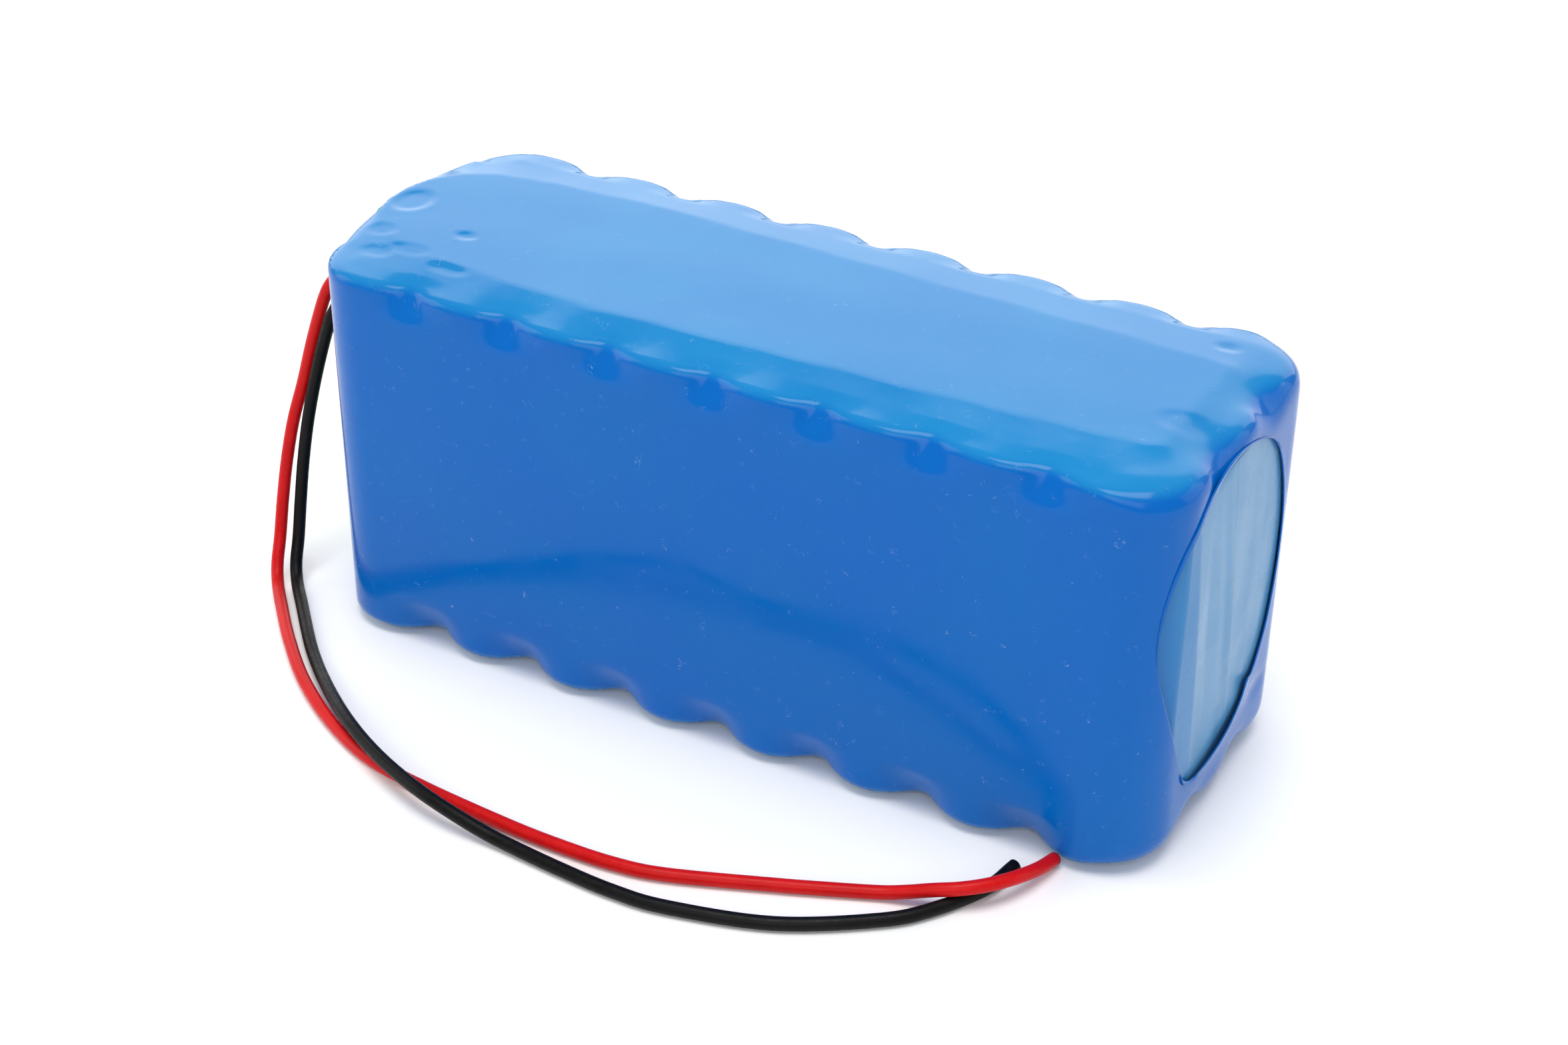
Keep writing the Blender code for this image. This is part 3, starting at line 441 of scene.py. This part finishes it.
def film_net(spacing):
    """A loose start for the film: straight loops along the pack, then rings closing in on each opening."""
    around = int(round(2 * (SECTION_WIDTH + SECTION_HEIGHT) / spacing / 4)) * 4
    half_y = -low_corner[1] + SIDE_SLACK
    half_z = (high_corner[2] - low_corner[2]) / 2 + SIDE_SLACK
    loop_y, loop_z = rounded_section(half_y, half_z, around)
    angles = np.mod(np.arctan2(loop_y, loop_z + MID_Z - OPENING_CENTRE_Z * MM), 2 * math.pi)
    rows = int(round((high_corner[0] - low_corner[0]) / spacing))
    stations = np.linspace(low_corner[0] - END_SLACK, high_corner[0] + END_SLACK, rows)
    net = [np.stack([np.full(around, x), loop_y, loop_z + MID_Z], axis=-1) for x in stations]
    flange_rows = int(round(FLANGE_LENGTH / spacing))
    for right, edge in ((True, RIGHT_EDGE), (False, LEFT_EDGE)):
        ring = opening_ring(right, edge, angles)
        last = net[-1] if right else net[0]
        between = [last + (ring - last) * (k + 1) / flange_rows for k in range(flange_rows)]
        net = net + between if right else between[::-1] + net
    return np.array(net)


def relax(net, rounds):
    """Draws the film tight: each point moves towards its neighbours, then back out of the contents."""
    for _ in range(rounds):
        pull = PULL_AROUND * ((np.roll(net, 1, axis=1) + np.roll(net, -1, axis=1)) / 2 - net)[1:-1]
        pull += PULL_ALONG * ((net[2:] + net[:-2]) / 2 - net[1:-1])
        net[1:-1] += PULL_STEP * pull
        distance = contents_distance(net)
        inside = distance < FILM_OFFSET
        inside[0] = inside[-1] = False
        points = net[inside]
        gap = distance[inside]
        net[inside] = points + (FILM_OFFSET - gap)[:, None] * contents_normal(points, gap)
    return net


def finer(net, rows, columns):
    """The same net with more points."""
    old_rows, old_columns = net.shape[:2]
    u = np.linspace(0, old_rows - 1, rows)
    v = np.arange(columns) * old_columns / columns
    low_u = np.minimum(u.astype(int), old_rows - 2)
    share_u = (u - low_u)[:, None, None]
    net = net[low_u] * (1 - share_u) + net[low_u + 1] * share_u
    low_v = v.astype(int) % old_columns
    share_v = (v - v.astype(int))[None, :, None]
    return net[:, low_v] * (1 - share_v) + net[:, (low_v + 1) % old_columns] * share_v


def net_mesh(name, net):
    """A mesh of four-sided faces over the net, closed round the pack and open at both ends."""
    rows, columns = net.shape[:2]
    index = np.arange(rows * columns).reshape(rows, columns)
    a = index[:-1]
    b = np.roll(index, -1, axis=1)[:-1]
    c = np.roll(index, -1, axis=1)[1:]
    d = index[1:]
    faces = np.stack([a, d, c, b], axis=-1).reshape(-1, 4)
    mesh = bpy.data.meshes.new(name)
    mesh.from_pydata(net.reshape(-1, 3).tolist(), [], faces.tolist())
    return mesh


# Dents pressed in the film's top: (x, y) of the middle, half sizes along X and Y in millimetres, depth.
DENTS = [
    (-72.2, -1.4, 3.7, 4.6, 0.26), (-56.4, -8.4, 2.2, 1.5, 0.26), (66.0, 19.6, 1.9, 1.7, 0.26),
    (-66.5, -19.5, 3.4, 2.0, 0.20), (-61.5, -17.0, 4.5, 1.9, 0.16), (-52.0, -19.6, 4.2, 1.6, 0.20),
    (69.5, -6.5, 4.6, 3.2, 0.14), (-70.0, -13.0, 3.0, 2.2, 0.16),
]
DENT_TOP_REACH = 0.6 * MM
DENT_STEEPNESS = 1.5

# The rim's height as a share of the dent's depth, and its place and half width in squared half sizes.
RIM_SHARE, RIM_PLACE, RIM_HALF_WIDTH = 0.12, 1.35, 0.4

# The hollow beside the pleat on the right end: (y, z) of its middle, half sizes and depth, in millimetres.
PLEAT_HOLLOW = (15.5, 12.2, 6.0, 2.2, 0.28)
HOLLOW_FROM_X, HOLLOW_GROWS = 70, 5


def ellipse_share(a, b, middle_a, middle_b, half_a, half_b):
    """0 in the middle of an ellipse given in millimetres, 1 on it, growing with the squared distance."""
    return ((a / MM - middle_a) / half_a) ** 2 + ((b / MM - middle_b) / half_b) ** 2


def press_dents(net):
    """Presses each dent into the film's top, with a low rim round it, and the hollow into the right end."""
    top = ease((net[..., 2] - (MID_Z + CELL_HALF)) / DENT_TOP_REACH + 1)
    for *ellipse, depth in DENTS:
        away = ellipse_share(net[..., 0], net[..., 1], *ellipse)
        rim = RIM_SHARE * np.exp(-((away - RIM_PLACE) / RIM_HALF_WIDTH) ** 2)
        net[..., 2] -= depth * MM * top * (ease(DENT_STEEPNESS * (1 - away)) - rim)
    *ellipse, depth = PLEAT_HOLLOW
    away = ellipse_share(net[..., 1], net[..., 2], *ellipse)
    at_end = np.clip((net[..., 0] / MM - HOLLOW_FROM_X) / HOLLOW_GROWS, 0, 1)
    net[..., 0] -= depth * MM * at_end * ease(1 - away)


# Long low waves over the sides and over the top and bottom: turns per millimetre both ways, phase, share.
SIDE_WAVES = [(0.13, 0.05, 0.0, 1.0), (0.31, -0.11, 1.3, 0.6), (0.07, 0.21, 0.0, 0.5)]
TOP_WAVES = [(0.17, 0.09, 0.0, 1.0), (-0.06, 0.33, 0.8, 0.7)]
SIDE_WAVE_HEIGHT = 0.035 * MM
TOP_WAVE_HEIGHT = 0.03 * MM

# Where the waves start, in millimetres from the pack's middle, and the width over which they grow.
SIDE_WAVES_FROM, SIDE_WAVES_GROW = 26, 2
TOP_WAVES_FROM, TOP_WAVES_GROW = 33, 1.5


def ruffle(net):
    """The slight unevenness of shrunk film, which rests on the ground with its underside."""
    x, y, z = net[..., 0] / MM, net[..., 1] / MM, net[..., 2] / MM
    side = np.clip((np.abs(y) - SIDE_WAVES_FROM) / SIDE_WAVES_GROW, 0, 1) * np.sign(y)
    wave = sum(share * np.sin(x * u + z * v + phase) for u, v, phase, share in SIDE_WAVES)
    net[..., 1] += SIDE_WAVE_HEIGHT * side * wave
    up = z - MID_Z / MM
    top = np.clip((np.abs(up) - TOP_WAVES_FROM) / TOP_WAVES_GROW, 0, 1) * np.sign(up)
    wave = sum(share * np.sin(x * u + y * v + phase) for u, v, phase, share in TOP_WAVES)
    net[..., 2] += TOP_WAVE_HEIGHT * top * wave
    net[..., 2] = np.maximum(net[..., 2], ABOVE_GROUND)


SOFTENING_ROUNDS = 6
SOFTENING = 0.6
SOFTENING_STARTS_BEFORE = 6 * MM


def soften_end(net):
    """Evens out the film round the right end, which is stiff over such short lengths."""
    share = (SOFTENING * ease((net[..., 0] - LAST_X) / SOFTENING_STARTS_BEFORE))[1:-1, :, None]
    for _ in range(SOFTENING_ROUNDS):
        mean = (np.roll(net, 1, axis=1) + np.roll(net, -1, axis=1))[1:-1] + net[2:] + net[:-2]
        net[1:-1] += share * (mean / 4 - net[1:-1])


def face_outwards(mesh):
    """Turns the faces so that they point away from the middle of the pack."""
    shape = bmesh.new()
    shape.from_mesh(mesh)
    middle = Vector((0, 0, MID_Z))
    outward = sum((face.calc_center_median() - middle).dot(face.normal) * face.calc_area()
                  for face in shape.faces)
    if outward < 0:
        bmesh.ops.reverse_faces(shape, faces=shape.faces)
    shape.to_mesh(mesh)
    shape.free()


def add_piece(name, data, node):
    """A visible piece of the pack, which stands for a node of the CAD."""
    piece = bpy.data.objects.new(name, data)
    bpy.context.scene.collection.objects.link(piece)
    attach(piece, ROOT)
    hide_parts(node)
    return piece


def add_shell(name, net, node):
    """A piece made of a net of points, as thick as film."""
    mesh = net_mesh(name, net)
    face_outwards(mesh)
    mesh.shade_smooth()
    piece = add_piece(name, mesh, node)
    shell = piece.modifiers.new("film", "SOLIDIFY")
    shell.thickness = FILM_THICKNESS
    shell.offset = -1
    return piece


def make_film():
    """The sleeve's film: drawn tight as a coarse net, then as a fine one, and creased a little."""
    net = relax(film_net(COARSE_SPACING), COARSE_ROUNDS)
    rows, columns = film_net(FINE_SPACING).shape[:2]
    net = relax(finer(net, rows, columns), FINE_ROUNDS)
    press_dents(net)
    soften_end(net)
    ruffle(net)
    return add_shell("film_sleeve", net, "shrink_sleeve")


# ---------------------------------------------------------------- the inner wrap

OUTLINE_TURNS = 1440


def taut_outline(rounds, spacing):
    """Evenly spaced points of a taut band round circles (x, y, radius)."""
    turns = np.linspace(0, 2 * math.pi, OUTLINE_TURNS, endpoint=False)
    facing = np.stack([np.cos(turns), np.sin(turns)], axis=-1)
    circles = np.array(rounds)
    reach = facing @ circles[:, :2].T + circles[:, 2]
    best = circles[reach.argmax(axis=1)]
    points = best[:, :2] + best[:, 2:] * facing
    steps = np.linalg.norm(np.roll(points, -1, axis=0) - points, axis=1)
    along = np.concatenate([[0], np.cumsum(steps)])
    places = np.linspace(0, along[-1], int(along[-1] / spacing), endpoint=False)
    closed = np.vstack([points, points[:1]])
    return np.stack([np.interp(places, along, closed[:, axis]) for axis in (0, 1)], axis=-1)


WRAP_BEYOND_CELLS = 0.6 * MM
WRAP_SPACING = 0.7 * MM
WRAP_ROWS = 60

# The wrap's upright folds at the right end: (y, z) of the lower and upper end, height and half width, in
# millimetres. They fade towards the end's lower and upper edges.
FOLDS = [((-12.2, 12.9), (-17.2, 59.8), 0.55, 5.0), ((2.6, 13.1), (-5.0, 62.0), 0.45, 9.0),
         ((0.6, 13.1), (-7.4, 62.0), -0.16, 2.2), ((9.0, 10.0), (7.0, 62.0), 0.12, 4.0)]
FOLD_LOWEST, FOLD_LENGTH = 8, 54
END_TURN = 9 * MM


def make_wrap():
    """The inner wrap: a taut band round the cells, drawn in with the film and folded at the right end."""
    end_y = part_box("right_end_paper")[1][1]
    radius = CELL_RADIUS + WRAP_BEYOND_CELLS
    rounds = [(x, y, radius) for x in (FIRST_X, LAST_X) for y in (FIRST_Y, LAST_Y)]
    rounds += [(x, y, 0.0) for x in (wrap_low[0], wrap_high[0]) for y in (-end_y, end_y)]
    outline = taut_outline(rounds, WRAP_SPACING)
    heights = np.linspace(wrap_low[2], wrap_high[2], WRAP_ROWS)
    net = np.empty((len(heights), len(outline), 3))
    net[..., :2] = outline[None]
    net[..., 2] = heights[:, None]
    x, y, z = net[..., 0].copy(), net[..., 1].copy(), net[..., 2].copy()
    net[..., 1] -= np.sign(y) * groove(x, y, np.abs(z - MID_Z), z > MID_Z, WRAP_GIVES_MORE)
    net[..., 0] -= end_give(x, y, np.abs(z - MID_Z))
    at_end = ease((x - LAST_X) / END_TURN)
    fade = np.sin(math.pi * np.clip((z / MM - FOLD_LOWEST) / FOLD_LENGTH, 0, 1))
    for (low_y, low_z), (high_y, high_z), height, half_width in FOLDS:
        line = low_y + (z / MM - low_z) / (high_z - low_z) * (high_y - low_y)
        ridge = np.clip(1 - np.abs(y / MM - line) / half_width, 0, 1)
        net[..., 0] += height * MM * at_end * fade * ridge
    return add_shell("wrap_band", net, "inner_wrap")


film = make_film()
wrap = make_wrap()


# ---------------------------------------------------------------- materials


class Surface:
    """A node material with one shader and a position in millimetres for its patterns."""

    def __init__(self, name, colour, roughness, metallic=0.0, specular=0.5):
        self.material = bpy.data.materials.new(name)
        self.material.use_nodes = True
        self.nodes = self.material.node_tree.nodes
        self.links = self.material.node_tree.links
        self.shader = self.nodes["Principled BSDF"]
        self.shader.inputs["Metallic"].default_value = metallic
        self.shader.inputs["Specular IOR Level"].default_value = specular
        self.shader.inputs["Base Color"].default_value = (*colour, 1)
        self.shader.inputs["Roughness"].default_value = roughness
        place = self.nodes.new("ShaderNodeTexCoord")
        self.position = place.outputs["Object"]
        self.position = self.stretched((1000, 1000, 1000))

    def axis(self, index):
        """The position along X, Y or Z, in millimetres."""
        node = self.nodes.new("ShaderNodeSeparateXYZ")
        self.links.new(self.position, node.inputs[0])
        return node.outputs[index]

    def height_from(self, middle):
        """Distance above or below a height, in millimetres."""
        return self.math("ABSOLUTE", self.math("SUBTRACT", self.axis(2), middle), 0)

    def stretched(self, factors):
        """The position with each axis multiplied by a factor."""
        node = self.nodes.new("ShaderNodeVectorMath")
        node.operation = "MULTIPLY"
        node.inputs[1].default_value = factors
        self.links.new(self.position, node.inputs[0])
        return node.outputs[0]

    def noise(self, scale, detail=3.0, where=None, distortion=0.0):
        node = self.nodes.new("ShaderNodeTexNoise")
        node.inputs["Scale"].default_value = scale
        node.inputs["Detail"].default_value = detail
        node.inputs["Distortion"].default_value = distortion
        self.links.new(where or self.position, node.inputs["Vector"])
        return node.outputs["Fac"]

    def voronoi(self, scale):
        node = self.nodes.new("ShaderNodeTexVoronoi")
        node.inputs["Scale"].default_value = scale
        self.links.new(self.position, node.inputs["Vector"])
        return node

    def ramp(self, value, low, high, start=0.0, end=1.0):
        """A value mapped from low..high to start..end and held beyond."""
        node = self.nodes.new("ShaderNodeMapRange")
        node.interpolation_type = "SMOOTHSTEP"
        for index, number in enumerate((low, high, start, end), start=1):
            node.inputs[index].default_value = number
        self.links.new(value, node.inputs[0])
        return node.outputs[0]

    def math(self, operation, first, second):
        node = self.nodes.new("ShaderNodeMath")
        node.operation = operation
        for socket, value in zip(node.inputs, (first, second)):
            if isinstance(value, (int, float)):
                socket.default_value = value
            else:
                self.links.new(value, socket)
        return node.outputs[0]

    def mix(self, share, first, second):
        node = self.nodes.new("ShaderNodeMix")
        node.data_type = "RGBA"
        self.links.new(share, node.inputs["Factor"])
        for socket, value in ((node.inputs[6], first), (node.inputs[7], second)):
            if isinstance(value, tuple):
                socket.default_value = (*value, 1)
            else:
                self.links.new(value, socket)
        return node.outputs[2]

    def colour(self, value):
        self.links.new(value, self.shader.inputs["Base Color"])

    def rough(self, value):
        self.links.new(value, self.shader.inputs["Roughness"])

    def bump(self, height, strength, distance):
        node = self.nodes.new("ShaderNodeBump")
        node.inputs["Strength"].default_value = strength
        node.inputs["Distance"].default_value = distance
        self.links.new(height, node.inputs["Height"])
        self.links.new(node.outputs["Normal"], self.shader.inputs["Normal"])


def dust_share(surface, cell, size, kept):
    """Sparse specks: 1 on a speck, 0 elsewhere. One speck at most in each cell of some millimetres."""
    spots = surface.voronoi(1 / cell)
    dot = surface.ramp(spots.outputs["Distance"], size / cell, size / cell * 0.4)
    chosen = surface.ramp(spots.outputs["Color"], 1 - kept, 1 - kept + 0.02)
    return surface.math("MULTIPLY", dot, chosen)


def lint_share(surface):
    """Sparse short curled fibres."""
    bent = surface.noise(0.4, 1.0, distortion=1.5)
    line = surface.ramp(surface.math("ABSOLUTE", surface.math("SUBTRACT", bent, 0.5), 0), 0.006, 0.002)
    patch = surface.ramp(surface.noise(0.34, 0.0, surface.stretched((1.3, 1.1, 1.7))), 0.69, 0.70)
    return surface.math("MULTIPLY", line, patch)


FILM_SIDE = (0.001, 0.118, 0.467)
# Painted light: the top and bottom faces' colour, lighter and greener than the sides', standing for the
# bright reflection they catch from above.
FILM_PAINTED_LIT_TOP = (0.010, 0.212, 0.500)


def film_material():
    """Glossy blue film, with painted light over the cells' ends: a lighter, greener colour on its top and
    bottom.
    """
    surface = Surface("film_blue_pvc", FILM_SIDE, 0.13, specular=0.18)
    # Painted light: the share of the lighter top colour, on the faces over the cells' ends.
    ends = surface.ramp(surface.height_from(MID_Z / MM), 31.6, 33.2)
    body = surface.mix(ends, FILM_SIDE, FILM_PAINTED_LIT_TOP)
    tint = surface.math("MULTIPLY", surface.ramp(surface.noise(0.035, 2.0), 0.35, 0.65), 0.25)
    body = surface.mix(tint, body, (0.001, 0.140, 0.440))
    dust = surface.math("MAXIMUM", dust_share(surface, 2.9, 0.13, 0.22), lint_share(surface))
    grit = dust_share(surface, 6.0, 0.2, 0.28)
    body = surface.mix(surface.math("MULTIPLY", dust, 0.3), body, (0.42, 0.56, 0.74))
    surface.colour(surface.mix(surface.math("MULTIPLY", grit, 0.7), body, (0.02, 0.05, 0.12)))
    haze = surface.ramp(surface.noise(0.12, 4.0), 0.3, 0.75, 0.10, 0.19)
    surface.rough(surface.math("MAXIMUM", haze, surface.math("MULTIPLY", dust, 0.6)))
    ripple = surface.math("ADD", surface.noise(0.25, 1.0), surface.math("MULTIPLY", dust, 0.5))
    surface.bump(ripple, 0.3, 0.00006)
    return surface.material


def wrap_material():
    """Pale blue film, with painted shade at the right end: deeper blue left of the first fold, and deeper
    still further left.
    """
    surface = Surface("wrap_pale_blue", (0.08, 0.27, 0.50), 0.3, specular=0.22)
    streak = surface.noise(0.35, 2.0, surface.stretched((1, 1, 0.02)))
    body = surface.mix(surface.ramp(streak, 0.3, 0.7), (0.075, 0.260, 0.490), (0.090, 0.285, 0.520))
    slant = surface.math("ADD", surface.axis(1), surface.math("MULTIPLY", surface.axis(2), 0.107))
    # Painted shade: the wrap is darker left of the folds, as facets turned away from the light.
    body = surface.mix(surface.ramp(slant, -10.6, -11.0, 0.0, 0.8), body, (0.022, 0.195, 0.480))
    body = surface.mix(surface.ramp(slant, -14.5, -19.0, 0.0, 0.7), body, (0.006, 0.140, 0.440))
    # A thin darker line, slanted like the folds, drawn along one of them.
    from_dark_line = surface.math("ABSOLUTE", surface.math("SUBTRACT", slant, 3.2), 0)
    body = surface.mix(surface.ramp(from_dark_line, 0.35, 0.1, 0.0, 0.35), body, (0.01, 0.10, 0.25))
    surface.colour(surface.mix(surface.math("MULTIPLY", dust_share(surface, 7.0, 0.22, 0.3), 0.6),
                               body, (0.03, 0.07, 0.14)))
    surface.rough(surface.ramp(surface.noise(0.1, 2.0), 0.3, 0.7, 0.24, 0.34))
    surface.bump(streak, 0.04, 0.00002)
    return surface.material


def grained_material(name, colour, second, roughness, grain, depth, metallic=0.0, stretch=(1, 1, 1),
                     specular=0.3):
    """A matt or metal surface with mottled colour, varied roughness and a fine grain."""
    surface = Surface(name, colour, roughness, metallic, specular)
    coarse = surface.noise(grain * 0.12, 3.0)
    fine = surface.noise(grain, 4.0, surface.stretched(stretch))
    blend = surface.math("ADD", surface.math("MULTIPLY", coarse, 0.6), surface.math("MULTIPLY", fine, 0.4))
    surface.colour(surface.mix(surface.ramp(blend, 0.38, 0.62), colour, second))
    surface.rough(surface.ramp(fine, 0.3, 0.7, roughness * 0.8, min(1.0, roughness * 1.2)))
    surface.bump(fine, 0.3, depth)
    return surface.material


MATERIALS = {
    "sleeve_film": film_material(),
    "wrap_film": wrap_material(),
    "cell_wrapper": grained_material(
        "cell_green_wrap", (0.05, 0.27, 0.14), (0.07, 0.33, 0.18), 0.33, 1.2, 0.0001),
    "nickel": grained_material(
        "nickel_sheet", (0.60, 0.58, 0.54), (0.68, 0.66, 0.62), 0.3, 2.5, 0.00005, 1.0, (0.05, 1, 1)),
    "barley_paper": grained_material(
        "barley_paper_fibre", (0.085, 0.30, 0.14), (0.12, 0.36, 0.18), 0.82, 3.0, 0.0002, 0.0,
        (1, 0.4, 0.4)),
    "circuit_board": grained_material(
        "board_green_mask", (0.015, 0.15, 0.065), (0.022, 0.19, 0.08), 0.3, 2.0, 0.00006),
    "chip_body": grained_material(
        "chip_black_epoxy", (0.018, 0.018, 0.02), (0.03, 0.03, 0.033), 0.5, 8.0, 0.00004),
    "shunt_metal": grained_material(
        "shunt_alloy", (0.48, 0.41, 0.33), (0.56, 0.48, 0.40), 0.35, 5.0, 0.00004, 1.0),
    "red_insulation": grained_material(
        "red_silicone", (0.54, 0.004, 0.005), (0.60, 0.006, 0.007), 0.36, 1.5, 0.00005, specular=0.15),
    "black_insulation": grained_material(
        "black_silicone", (0.002, 0.002, 0.002), (0.004, 0.004, 0.004), 0.42, 1.5, 0.00005,
        specular=0.15),
    "copper": grained_material(
        "copper_strands", (0.70, 0.32, 0.18), (0.80, 0.42, 0.26), 0.3, 12.0, 0.0001, 1.0),
}

NODE_SLOTS = {entry["node"]: entry["material_slot"] for entry in frame["record"]["subparts"]}
for node, part in frame["nodes"].items():
    part.data.materials.clear()
    part.data.materials.append(MATERIALS[NODE_SLOTS[node]])
film.data.materials.append(MATERIALS["sleeve_film"])
wrap.data.materials.append(MATERIALS["wrap_film"])


# ---------------------------------------------------------------- leads

TUBE_SIDES = 20
BORE_SHARE = 0.6
STRANDS_RECESS = 0.35 * MM
LEAD_STEPS = 8


def tube_mesh(name, points):
    """A lead along points, cut at both ends: a ring of insulation round recessed strands."""
    points = [Vector(point) for point in points]
    along = [(b - a).normalized() for a, b in zip(points, points[1:])]
    tangents = [along[0]] + [(a + b).normalized() for a, b in zip(along, along[1:])] + [along[-1]]
    side = tangents[0].cross(Vector((0, 0, 1))).normalized()
    mesh = bmesh.new()
    rings = []
    for point, tangent in zip(points, tangents):
        side = (side - tangent * side.dot(tangent)).normalized()
        up = tangent.cross(side)
        turns = [2 * math.pi * i / TUBE_SIDES for i in range(TUBE_SIDES)]
        rings.append([mesh.verts.new(point + (side * math.cos(turn) + up * math.sin(turn)) * LEAD_RADIUS)
                      for turn in turns])

    def join(before, after, slot):
        for i in range(TUBE_SIDES):
            mesh.faces.new((before[i - 1], before[i], after[i], after[i - 1])).material_index = slot

    for before, after in zip(rings, rings[1:]):
        join(before, after, 0)
    ends = ((rings[0], points[0], tangents[0]), (rings[-1], points[-1], -tangents[-1]))
    for ring, point, inward in ends:
        rim = [mesh.verts.new(point + (vertex.co - point) * BORE_SHARE) for vertex in ring]
        deep = [mesh.verts.new(vertex.co + inward * STRANDS_RECESS) for vertex in rim]
        join(ring, rim, 0)
        join(rim, deep, 0)
        mesh.faces.new(deep).material_index = 1
    bmesh.ops.recalc_face_normals(mesh, faces=mesh.faces)
    data = bpy.data.meshes.new(name)
    mesh.to_mesh(data)
    mesh.free()
    data.shade_smooth()
    return data


def make_lead(name, route, node, slot):
    points = smooth_curve(route, LEAD_STEPS, LEAD_RADIUS + ABOVE_GROUND)
    lead = add_piece(name, tube_mesh(name, points), node)
    lead.data.materials.append(MATERIALS[slot])
    lead.data.materials.append(MATERIALS["copper"])


make_lead("lead_red", RED_ROUTE, "red_lead", "red_insulation")
make_lead("lead_black", BLACK_ROUTE, "black_lead", "black_insulation")


# ---------------------------------------------------------------- floor and light

FLOOR_HALF = 3.0


def make_floor():
    mesh = bpy.data.meshes.new("floor")
    corners = [(-1, -1), (1, -1), (1, 1), (-1, 1)]
    mesh.from_pydata([(FLOOR_HALF * x, FLOOR_HALF * y, 0) for x, y in corners], [], [(0, 1, 2, 3)])
    floor = bpy.data.objects.new("floor", mesh)
    bpy.context.scene.collection.objects.link(floor)
    surface = Surface("floor_white", (0.93, 0.93, 0.93), 0.9, specular=0.2)
    mesh.materials.append(surface.material)


make_floor()


def area_light(name, location, target, size, power):
    data = bpy.data.lights.new(name, "AREA")
    data.shape = "RECTANGLE"
    data.size, data.size_y = size
    data.energy = power
    light = bpy.data.objects.new(name, data)
    light.location = location
    light.rotation_euler = (Vector(target) - Vector(location)).to_track_quat("-Z", "Y").to_euler()
    bpy.context.scene.collection.objects.link(light)


area_light("backdrop", (-0.62, 1.10, 0.58), (0, 0, 0.20), (3.2, 1.0), 20)
area_light("overhead", (0.1, -0.2, 1.5), (0, 0, 0), (1.0, 0.8), 15)
area_light("left", (-1.3, -0.5, 0.6), (0, 0, 0.03), (0.7, 1.0), 5)
area_light("back_right", (1.25, 0.85, 0.55), (0, 0, 0.05), (1.2, 1.0), 4)
area_light("front", (0.4, -1.3, 0.9), (0, 0, 0.0), (1.4, 0.8), 8)

WORLD_COLOUR = (0.95, 0.97, 1.0, 1)
WORLD_STRENGTH = 0.35

world = bpy.data.worlds.new("world")
bpy.context.scene.world = world
world.use_nodes = True
world.node_tree.nodes["Background"].inputs["Color"].default_value = WORLD_COLOUR
world.node_tree.nodes["Background"].inputs["Strength"].default_value = WORLD_STRENGTH
bpy.context.scene.view_settings.view_transform = "Standard"

import json
